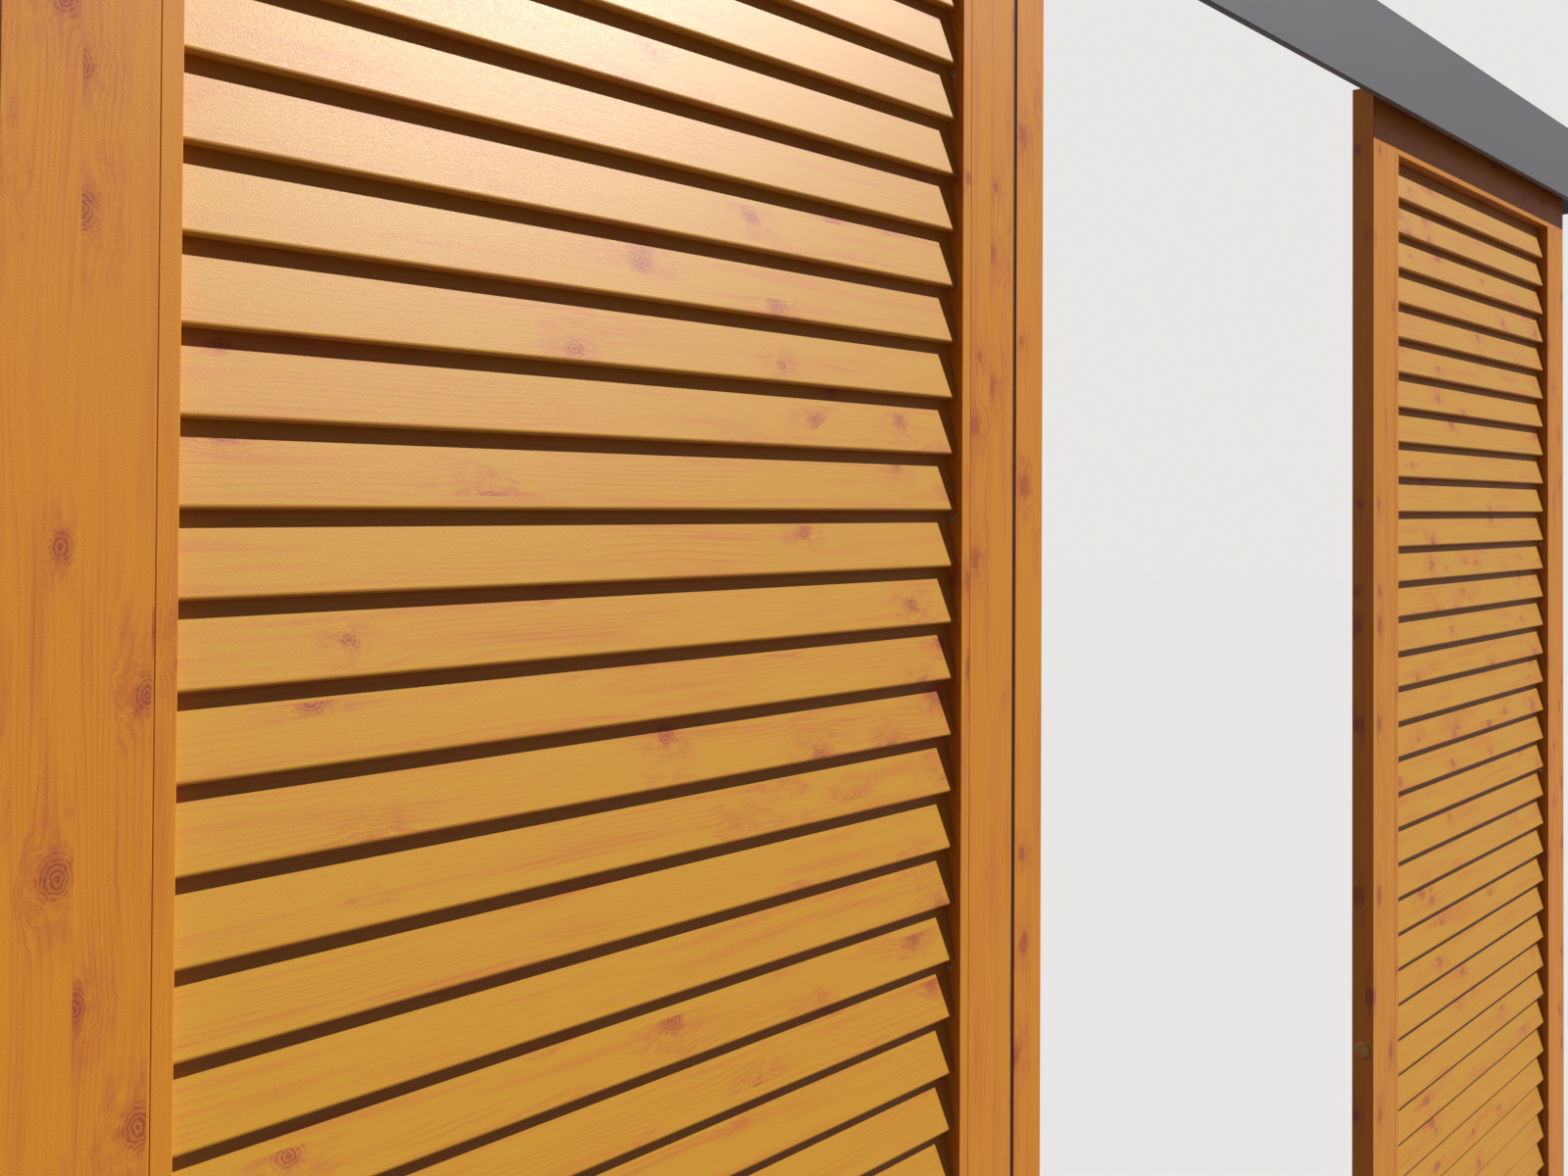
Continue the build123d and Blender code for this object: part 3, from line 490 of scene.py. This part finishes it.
def louvre_coat():
    ground = bpy.context.scene.shutter_colours.louvre
    return pine_coat("pine_powder_coat_louvre", (0, -0.3, 1.05), (1, 0, 0), ground, 0.3)


def grey_coat():
    """Fine-textured grey powder coat: matt and even, with a faint grit."""

    def build(tree):
        place = add(tree, "TexCoord", out="Object")
        base = linear(bpy.context.scene.shutter_colours.cover)
        darker = [0.88 * v for v in base[:3]] + [1]
        # Clouds, six to a metre
        cloud = add(tree, "TexNoise", (place, 6.0, 3.0))
        colour = add(tree, "Mix", (cloud, base, darker), data_type="RGBA")
        # Powder grit is finer than 0.5 mm; it is drawn at 0.9 mm so that it shows
        grit = add(tree, "TexNoise", (place, 1 / (0.9 * MM), 2.0, 0.7))
        bump = add(tree, "Bump", {"Height": grit, "Strength": 0.35, "Distance": 0.06 * MM})
        rough = add(tree, "Math", (cloud, 0.1, 0.45), operation="MULTIPLY_ADD")
        return {"Base Color": colour, "Normal": bump, "Roughness": rough}

    return material_of("grey_powder_coat", build)


def mill_aluminium():
    """Extruded aluminium, left as it came from the die: dull metal with fine lines along the bar."""

    def build(tree):
        place = add(tree, "TexCoord", out="Object")
        # Die lines 0.5 mm apart, drawn out along the bar
        lines = add(tree, "Mapping", {"Vector": place, "Scale": (4.0, 1 / (0.5 * MM), 1 / (0.5 * MM))})
        streak = add(tree, "TexNoise", (lines, 1.0, 2.0))
        colour = add(tree, "Mix", (streak, linear("C9CBCD"), linear("AEB1B4")), data_type="RGBA")
        rough = add(tree, "Math", (streak, 0.2, 0.3), operation="MULTIPLY_ADD")
        return {"Base Color": colour, "Roughness": rough, "Metallic": 1.0}

    return material_of("extruded_aluminium", build)


def zinc_steel():
    """Zinc-plated steel: bright grey metal, mottled by its passivation."""

    def build(tree):
        place = add(tree, "TexCoord", out="Object")
        mottle = add(tree, "TexNoise", (place, 1 / (6 * MM), 3.0, 0.6))
        colour = add(tree, "Mix", (mottle, linear("C6C8C4"), linear("9FA3A6")), data_type="RGBA")
        rough = add(tree, "Math", (mottle, 0.25, 0.22), operation="MULTIPLY_ADD")
        return {"Base Color": colour, "Roughness": rough, "Metallic": 1.0}

    return material_of("bright_zinc_plating", build)


def black_rubber():
    """EPDM rubber, extruded or moulded: near-black, matt and slightly uneven."""

    def build(tree):
        place = add(tree, "TexCoord", out="Object")
        cloud = add(tree, "TexNoise", (place, 1 / (9 * MM), 3.0))
        colour = add(tree, "Mix", (cloud, linear("161514"), linear("242220")), data_type="RGBA")
        rough = add(tree, "Math", (cloud, 0.15, 0.7), operation="MULTIPLY_ADD")
        return {"Base Color": colour, "Roughness": rough}

    return material_of("epdm_rubber", build)


def moulded_plastic(name, light, dark):
    """Injection-moulded plastic: even colour with soft flow clouds and a low gloss."""

    def build(tree):
        place = add(tree, "TexCoord", out="Object")
        cloud = add(tree, "TexNoise", (place, 1 / (5 * MM), 2.0))
        colour = add(tree, "Mix", (cloud, light, dark), data_type="RGBA")
        rough = add(tree, "Math", (cloud, 0.1, 0.33), operation="MULTIPLY_ADD")
        return {"Base Color": colour, "Roughness": rough}

    return material_of(name, build)


def nylon():
    return moulded_plastic("moulded_polyamide", linear("E4E0D6"), linear("D5D0C4"))


def tan_plastic():
    light = linear(bpy.context.scene.shutter_colours.cap)
    return moulded_plastic("moulded_tan_plastic", light, [0.85 * v for v in light[:3]] + [1])


# Louvres


class SHUTTERS_OT_louvres(bpy.types.Operator):
    """Makes the hollow blades of both leaves"""

    bl_idname = "shutters.louvres"
    bl_label = "Louvres"

    def execute(self, context):
        sizes = context.scene.shutter_sizes
        for side in SIDES:
            node = f"{side}_louvres"
            low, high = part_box(node)
            first = louvre_blade(f"{side}_louvre_01", low, high, sizes)
            blades = [first]
            for number in range(1, sizes.louvre_count):
                move = (0, 0, number * sizes.louvre_pitch)
                blades.append(copy_of(first, f"{side}_louvre_{number + 1:02d}", move))
            for number, blade in enumerate(blades, SIDES.index(side) * sizes.louvre_count):
                number_board(blade, number)
                hand_over(blade, f"{side}_leaf", "wood_effect_coat", louvre_coat(), node)
        return {"FINISHED"}


def louvre_blade(name, low, high, sizes):
    """Lowest blade of a leaf: a leaning hollow bar with a round nose at its lower front edge."""
    rise = high.z - low.z - (sizes.louvre_count - 1) * sizes.louvre_pitch
    top = low.z + rise
    back = high.y - sizes.louvre_lean
    front = back - sizes.louvre_depth
    blade = block(name, (low.x, front, low.z), (high.x, back, top))
    choose(blade, "FACE", lambda centre, way: way.z > 0.5)
    bpy.ops.transform.translate(value=(0, sizes.louvre_lean, 0))
    bpy.ops.object.mode_set(mode="OBJECT")
    remove_faces(blade, lambda centre, way: abs(way.x) > 0.5)

    def nose(a, b):
        return all(near(p.z, low.z) and near(p.y, front) for p in (a, b))

    def other(a, b):
        at_top = near(a.z, top) and near(b.z, top)
        at_heel = near(a.y, back) and near(b.y, back) and near(a.z, low.z)
        return abs(a.x - b.x) > 0.5 * (high.x - low.x) and (at_top or at_heel)

    bevel(blade, other, sizes.blade_edge, 2)
    bevel(blade, nose, sizes.nose_radius, 8)
    hollow(blade, sizes.louvre_wall)
    smooth(blade)
    return blade


# Stiles and rails


class SHUTTERS_OT_frames(bpy.types.Operator):
    """Makes the mitred stiles and top rails of both leaves"""

    bl_idname = "shutters.frames"
    bl_label = "Frames"

    def execute(self, context):
        sizes = context.scene.shutter_sizes
        for side in SIDES:
            for number, name in enumerate(("outer_stile", "meeting_stile", "top_rail")):
                node = f"{side}_{name}"
                bar = frame_bar(node, sizes)
                number_board(bar, 80 + 10 * SIDES.index(side) + number)
                material = upright_coat() if "stile" in name else level_coat()
                hand_over(bar, f"{side}_leaf", "wood_effect_coat", material, node)
        return {"FINISHED"}


def frame_bar(node, sizes):
    """Hollow bar in place of a stile or rail, mitred towards the opening of its leaf."""
    low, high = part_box(node)
    axis = 2 if "stile" in node else 0
    rebated = node.startswith("left") and not node.endswith("outer_stile")
    bar = block(node + "_bar", low, high - Vector((sizes.rebate_width * rebated, 0, 0)))
    if rebated:
        step = low.y + sizes.rebate_depth
        edge = high.x - sizes.rebate_width
        split(bar, (0, step, 0), (0, 1, 0))
        push(bar, lambda centre, way: near(centre.x, edge) and centre.y > step, (sizes.rebate_width, 0, 0))

    def end(centre, way):
        return abs(way[axis]) > 0.5 and (near(centre[axis], low[axis]) or near(centre[axis], high[axis]))

    remove_faces(bar, end)
    hollow(bar, sizes.frame_wall)
    mitres = mitre_planes(node, low, high)
    for place, normal in mitres:
        split(bar, place, normal, clear=True)
    bevel(bar, outer_edge(low, high, axis, rebated, sizes), sizes.frame_edge, 3)
    bevel(bar, at_mitre(mitres, low, high), sizes.mitre_edge, 1)
    smooth(bar)
    return bar


def mitre_planes(node, low, high):
    """A place on each mitre of a bar and the way out of the bar there."""
    if node.endswith("rail"):
        return [((low.x, 0, high.z), (-1, 0, -1)), ((high.x, 0, high.z), (1, 0, -1))]
    inward = 1 if low.x < leaf_middle(node) else -1
    outer = low.x if inward > 0 else high.x
    return [((outer, 0, high.z), (inward, 0, 1)), ((outer, 0, low.z), (inward, 0, -1))]


def leaf_middle(node):
    low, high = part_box(node.split("_")[0] + "_top_rail")
    return (low.x + high.x) / 2


def outer_edge(low, high, axis, rebated, sizes):
    """Test for the long edges on the outside of a bar."""
    across = 0 if axis == 2 else 2

    def test(a, b):
        long_one = abs(a[axis] - b[axis]) > 0.5 * (high[axis] - low[axis])
        if not long_one:
            return False
        at_side = near(a[across], low[across]) or near(a[across], high[across])
        at_step = rebated and axis == 2 and near(a.x, high.x - sizes.rebate_width)
        return (at_side or at_step) and (near(a.y, low.y) or near(a.y, high.y))

    return test


def at_mitre(mitres, low, high):
    """Test for the outer edges of a bar's mitred ends, without the short ones across its wall."""
    reach = 20 * MERGE
    shortest = 5 * MM
    planes = [(Vector(place), Vector(normal).normalized()) for place, normal in mitres]

    def on_plane(point):
        return any(abs((point - place).dot(normal)) < reach for place, normal in planes)

    def test(a, b):
        on_face = any(near(a.y, y) and near(b.y, y) for y in (low.y, high.y))
        return on_face and on_plane(a) and on_plane(b) and (a - b).length > shortest

    return test


# Meeting edge


class SHUTTERS_OT_meeting_edge(bpy.types.Operator):
    """Makes the closing profile, its gasket and the round cap"""

    bl_idname = "shutters.meeting_edge"
    bl_label = "Meeting edge"

    def execute(self, context):
        sizes = context.scene.shutter_sizes
        closing_profile(sizes)
        gasket(sizes)
        round_cap()
        return {"FINISHED"}


def closing_profile(sizes):
    """Hollow profile with a lip that laps into the meeting stile's rebate."""
    low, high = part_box("left_closing_profile")
    body_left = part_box("left_meeting_stile")[1].x
    lap_gap = 0.5 * MM
    lip_back = low.y + sizes.rebate_depth - lap_gap
    bar = block("left_closing_bar", (body_left, low.y, low.z), high)
    split(bar, (0, lip_back, 0), (0, 1, 0))
    push(bar, lambda centre, way: way.x < -0.5 and centre.y < lip_back, (low.x - body_left, 0, 0))
    remove_faces(bar, lambda centre, way: abs(way.z) > 0.5)
    hollow(bar, sizes.frame_wall)

    corners = ((low.x, low.y), (high.x, low.y), (high.x, high.y), (body_left, high.y))

    def corner(a, b):
        tall = abs(a.z - b.z) > 0.5 * (high.z - low.z)
        return tall and any(near(a.x, x) and near(a.y, y) for x, y in corners)

    bevel(bar, corner, sizes.frame_edge, 3)
    smooth(bar)
    number_board(bar, 99)
    hand_over(bar, "left_leaf", "wood_effect_coat", upright_coat(), "left_closing_profile")


def gasket(sizes):
    """Rubber strip with a rounded front, set back in the rebate."""
    low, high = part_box("left_gasket")
    low = low - Vector((0, sizes.gasket_rise, 0))
    strip = block("left_gasket_strip", low, high)
    bevel(strip, lambda a, b: abs(a.z - b.z) > 1 and near(a.y, low.y), sizes.gasket_round, 4)
    smooth(strip)
    hand_over(strip, "left_leaf", "black_rubber", black_rubber(), "left_gasket")


def round_cap():
    """Push-in cap with a rounded rim and a dished face, on the right leaf's meeting edge."""
    low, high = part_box("right_edge_cap")
    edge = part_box("right_meeting_stile")[0].x
    radius = (high.z - low.z) / 2
    rim_round, rim_width, shoulder = 1.7 * MM, 2.2 * MM, 2.2 * MM
    dish_slope, dish_depth, dish_edge = 0.8 * MM, 0.6 * MM, 0.4 * MM
    deselect()
    bpy.ops.mesh.primitive_cylinder_add(
        vertices=48,
        radius=radius,
        depth=edge - low.x,
        location=((low.x + edge) / 2, (low.y + high.y) / 2, (low.z + high.z) / 2),
        rotation=(0, -math.pi / 2, 0),
    )
    cap = bpy.context.object
    cap.name = "right_round_cap"
    bpy.ops.object.transform_apply(location=True, rotation=True, scale=False)
    bevel(cap, lambda a, b: near(a.x, low.x) and near(b.x, low.x), rim_round, 5)
    choose(cap, "FACE", lambda centre, way: way.x < -0.9 and near(centre.x, low.x))
    bpy.ops.mesh.inset(thickness=rim_width)
    bpy.ops.mesh.inset(thickness=dish_slope)
    bpy.ops.transform.translate(value=(dish_depth, 0, 0))
    bpy.ops.mesh.inset(thickness=dish_edge)
    bpy.ops.object.mode_set(mode="OBJECT")
    choose(cap, "FACE", lambda centre, way: way.x > 0.9 and near(centre.x, edge))
    bpy.ops.mesh.inset(thickness=shoulder)
    bpy.ops.mesh.extrude_region_move(TRANSFORM_OT_translate={"value": (high.x - edge, 0, 0)})
    bpy.ops.object.mode_set(mode="OBJECT")
    smooth(cap)
    hand_over(cap, "right_leaf", "wood_effect_coat", tan_plastic(), "right_edge_cap")


# Cover of the rail


class SHUTTERS_OT_cover(bpy.types.Operator):
    """Makes the folded cover in front of the rail"""

    bl_idname = "shutters.cover"
    bl_label = "Cover"

    def execute(self, context):
        sizes = context.scene.shutter_sizes
        low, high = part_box("fascia_cover")
        cover = block("fascia_cover_sheet", low, high)
        remove_faces(cover, lambda centre, way: abs(way.x) > 0.5 or way.y > 0.5 or way.z < -0.5)
        choose(cover, "EDGE", lambda a, b: near(a.z, low.z) and near(b.z, low.z))
        bpy.ops.mesh.extrude_region_move(TRANSFORM_OT_translate={"value": (0, sizes.cover_lip, 0)})
        bpy.ops.object.mode_set(mode="OBJECT")

        def fold(a, b):
            return near(a.y, low.y) and near(b.y, low.y) and abs(a.x - b.x) > 1

        bevel(cover, fold, sizes.cover_bend, 6)
        hollow(cover, sizes.cover_wall)
        under = high.z - sizes.cover_wall
        back = high.y - sizes.leg_gap
        leg = block(
            "cover_leg",
            (low.x, back - sizes.cover_wall, under - sizes.cover_leg),
            (high.x, back, under),
        )
        only(leg)
        cover.select_set(True)
        bpy.context.view_layer.objects.active = cover
        bpy.ops.object.join()
        lip_end = low.y + sizes.cover_lip
        bevel(cover, lambda a, b: abs(a.x - b.x) > 1 and near(a.y, lip_end), sizes.soft_edge, 2)
        smooth(cover)
        hand_over(cover, "wall_rail", "grey_coat", grey_coat(), "fascia_cover")
        return {"FINISHED"}


# Small parts that keep their engineering form


DRESSED = {
    "wall_angle": ("mill_aluminium", mill_aluminium),
    "running_track": ("mill_aluminium", mill_aluminium),
    "track_stops": ("mill_aluminium", mill_aluminium),
    "fascia_end_cap_left": ("grey_coat", grey_coat),
    "fascia_end_cap_right": ("grey_coat", grey_coat),
    "fascia_screws": ("zinc_plated_steel", zinc_steel),
    "track_screws": ("zinc_plated_steel", zinc_steel),
    "track_nuts": ("zinc_plated_steel", zinc_steel),
    "stop_clamps": ("zinc_plated_steel", zinc_steel),
    "stop_screws": ("zinc_plated_steel", zinc_steel),
    "stop_buffers": ("black_rubber", black_rubber),
    "guide_bracket_left": ("zinc_plated_steel", zinc_steel),
    "guide_bracket_right": ("zinc_plated_steel", zinc_steel),
    "guide_screws": ("zinc_plated_steel", zinc_steel),
    "guide_blocks": ("nylon", nylon),
    "left_closing_end_caps": ("black_rubber", black_rubber),
    "left_closing_screws": ("zinc_plated_steel", zinc_steel),
}
DRESSED_LEAF = {
    "bottom_rail": ("wood_effect_coat", level_coat),
    "outer_carrier": ("wood_effect_coat", upright_coat),
    "meeting_carrier": ("wood_effect_coat", upright_coat),
    "corner_cleats": ("mill_aluminium", mill_aluminium),
    "carrier_screws": ("zinc_plated_steel", zinc_steel),
    "hanger_plate_1": ("zinc_plated_steel", zinc_steel),
    "hanger_plate_2": ("zinc_plated_steel", zinc_steel),
    "plate_screws": ("zinc_plated_steel", zinc_steel),
    "hanger_bolts": ("zinc_plated_steel", zinc_steel),
    "lock_nuts": ("zinc_plated_steel", zinc_steel),
    "trolley_1": ("zinc_plated_steel", zinc_steel),
    "trolley_2": ("zinc_plated_steel", zinc_steel),
    "axles": ("zinc_plated_steel", zinc_steel),
    "wheels_1": ("nylon", nylon),
    "wheels_2": ("nylon", nylon),
}


class SHUTTERS_OT_small_parts(bpy.types.Operator):
    """Softens the edges of the rail's, trolleys' and guides' parts and gives them their finish"""

    bl_idname = "shutters.small_parts"
    bl_label = "Small parts"

    def execute(self, context):
        sizes = context.scene.shutter_sizes
        finishes = dict(DRESSED)
        for side in SIDES:
            for name, finish in DRESSED_LEAF.items():
                finishes[f"{side}_{name}"] = finish
        for number, (node, (slot, finish)) in enumerate(finishes.items(), 100):
            piece = dress(node, slot, finish(), sizes)
            if slot == "wood_effect_coat":
                number_board(piece, number)
        return {"FINISHED"}


def sink_heads(piece, side, sizes):
    """Sinks a round drive recess into the screw heads on both beads of a leaf."""
    carriers = [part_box(f"{side}_{name}_carrier") for name in ("outer", "meeting")]
    near_one, far_one = sorted(carriers, key=lambda box: box[0].x)
    ends = (near_one[1].x + sizes.head_height, far_one[0].x - sizes.head_height)
    land, taper, depth = 1.4 * MM, 0.2 * MM, 0.9 * MM

    def flat_end(centre, way):
        """The head's flat end, without the narrow faces of its soft edge."""
        return abs(way.x) > 0.99 and any(near(centre.x, end) for end in ends)

    choose(piece, "FACE", flat_end)
    bpy.ops.mesh.inset(thickness=land, use_individual=True)
    bpy.ops.mesh.inset(thickness=taper, depth=-depth, use_individual=True)
    bpy.ops.object.mode_set(mode="OBJECT")


def dress(node, slot, material, sizes):
    """Puts a copy with soft edges and smooth rounds in place of an engineering solid."""
    # Facets this flat become one face, edges this sharp are softened, and the rest is shaded round
    flat, sharp, rounded = [math.radians(angle) for angle in (1, 50, 48)]
    body = frame["nodes"][node]["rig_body"]
    piece = copy_of(frame["nodes"][node], node + "_finished")
    del piece["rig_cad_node"]
    bpy.ops.object.mode_set(mode="EDIT")
    bpy.context.tool_settings.mesh_select_mode = (False, True, False)
    bpy.ops.mesh.select_all(action="SELECT")
    bpy.ops.mesh.remove_doubles(threshold=MERGE)
    bpy.ops.mesh.dissolve_limited(angle_limit=flat)
    bpy.ops.mesh.select_all(action="DESELECT")
    bpy.ops.mesh.edges_select_sharp(sharpness=sharp)
    bpy.ops.mesh.bevel(offset=sizes.soft_edge, segments=2, affect="EDGES", clamp_overlap=False)
    bpy.ops.object.mode_set(mode="OBJECT")
    if node.endswith("carrier_screws"):
        sink_heads(piece, node.split("_")[0], sizes)
    smooth(piece, rounded)
    hand_over(piece, body, slot, material, node)
    return piece


# Stage


def seen_share(tree):
    """1 for rays that show a surface, less for mirrored ones, and 0 for rays that only light."""
    mirrored_share = 0.35
    path = add(tree, "LightPath").node.outputs
    mirrored = add(tree, "Math", (path["Is Glossy Ray"], mirrored_share), operation="MULTIPLY")
    seen = add(tree, "Math", (path["Is Camera Ray"], mirrored), operation="MAXIMUM")
    return add(tree, "Math", (seen, path["Is Transmission Ray"]), operation="MAXIMUM")


class SHUTTERS_OT_stage(bpy.types.Operator):
    """Sets up floor, backdrop, lamps and camera"""

    bl_idname = "shutters.stage"
    bl_label = "Stage"

    def execute(self, context):
        view = context.scene.shutter_view
        low, high = CAD_BOX
        floor_gap = 4 * MM
        floor_plane(Vector(((low.x + high.x) / 2, (low.y + high.y) / 2, low.z - floor_gap)))
        studio_light(context, view)
        set_camera(context, view)
        context.scene.view_settings.view_transform = "Standard"
        return {"FINISHED"}


def floor_plane(place):
    """Pale floor. The light that it throws back is weaker and redder than its look."""
    floor_width = 60
    deselect()
    bpy.ops.mesh.primitive_plane_add(size=floor_width, location=place)
    floor = bpy.context.object
    floor.name = "floor"

    def build(tree):
        colour = add(tree, "Mix", (seen_share(tree), linear("69555B"), linear("C6C8C8")), data_type="RGBA")
        return {"Base Color": colour, "Roughness": 0.9, "Specular IOR Level": 0.0}

    floor.data.materials.append(material_of("pale_floor", build))


def studio_light(context, view):
    """Even surround, a key lamp in front and a soft fill from behind."""
    world = bpy.data.worlds.new("studio")
    context.scene.world = world
    world.use_nodes = True
    tree = world.node_tree
    surround = tree.nodes["Background"]
    surround.inputs["Color"].default_value = linear("F2CCE6")
    surround.inputs["Strength"].default_value = 0.09
    shown = add(tree, "Background", (linear("E8E7E5"), 1.0))
    both = add(tree, "MixShader", (seen_share(tree), surround.outputs[0], shown))
    tree.links.new(both, tree.nodes["World Output"].inputs["Surface"])
    lamp("key", view.sun, strength=5.5, spread=math.radians(1), colour=(1.0, 0.985, 0.96))
    lamp("fill", view.fill, strength=0.7, spread=math.radians(40), colour=(1.0, 0.97, 0.96))


def lamp(name, way, strength, spread, colour):
    """Distant lamp that shines from a given way; a wide spread makes its shadows soft."""
    deselect()
    bpy.ops.object.light_add(type="SUN", location=way)
    light = bpy.context.object
    light.name = name
    light.data.energy = strength
    light.data.angle = spread
    light.data.color = colour
    light.rotation_mode = "QUATERNION"
    light.rotation_quaternion = Vector(way).to_track_quat("Z", "Y")


def set_camera(context, view):
    """Camera from its eye, heading, tilt and roll."""
    deselect()
    bpy.ops.object.camera_add()
    camera = bpy.context.object
    context.scene.camera = camera
    level = math.cos(view.tilt)
    ahead = Vector((math.cos(view.turn) * level, math.sin(view.turn) * level, math.sin(view.tilt)))
    right = ahead.cross(Vector((0, 0, 1))).normalized()
    up = right.cross(ahead)
    turned = Matrix((right, up, -ahead)).transposed() @ Matrix.Rotation(view.roll, 3, "Z")
    camera.matrix_world = Matrix.Translation(view.eye) @ turned.to_4x4()
    camera.data.sensor_width = 36
    camera.data.lens = view.focal
    camera.data.shift_y = view.shift
    camera.data.clip_start = 0.01


class SHUTTERS_PT_panel(bpy.types.Panel):
    """Lists the sizes, the colours and the steps that build the shutters"""

    bl_idname = "SHUTTERS_PT_panel"
    bl_label = "Shutters"
    bl_space_type = "VIEW_3D"
    bl_region_type = "UI"
    bl_category = "Shutters"

    def draw(self, context):
        scene = context.scene
        for group in (scene.shutter_sizes, scene.shutter_colours, scene.shutter_view):
            for name in group.__annotations__:
                self.layout.prop(group, name)
        for step in STEPS:
            self.layout.operator(step.bl_idname)


STEPS = (
    SHUTTERS_OT_louvres,
    SHUTTERS_OT_frames,
    SHUTTERS_OT_meeting_edge,
    SHUTTERS_OT_cover,
    SHUTTERS_OT_small_parts,
    SHUTTERS_OT_stage,
)
GROUPS = {"shutter_sizes": ShutterSizes, "shutter_colours": ShutterColours, "shutter_view": ShutterView}


def register():
    for part in (*GROUPS.values(), *STEPS, SHUTTERS_PT_panel):
        bpy.utils.register_class(part)
    for name, group in GROUPS.items():
        setattr(bpy.types.Scene, name, bpy.props.PointerProperty(type=group))


def unregister():
    for name in GROUPS:
        delattr(bpy.types.Scene, name)
    for part in (SHUTTERS_PT_panel, *reversed(STEPS), *reversed(GROUPS.values())):
        bpy.utils.unregister_class(part)


def main():
    register()
    for step in STEPS:
        getattr(bpy.ops.shutters, step.bl_idname.split(".")[1])()


if __name__ == "__main__":
    main()
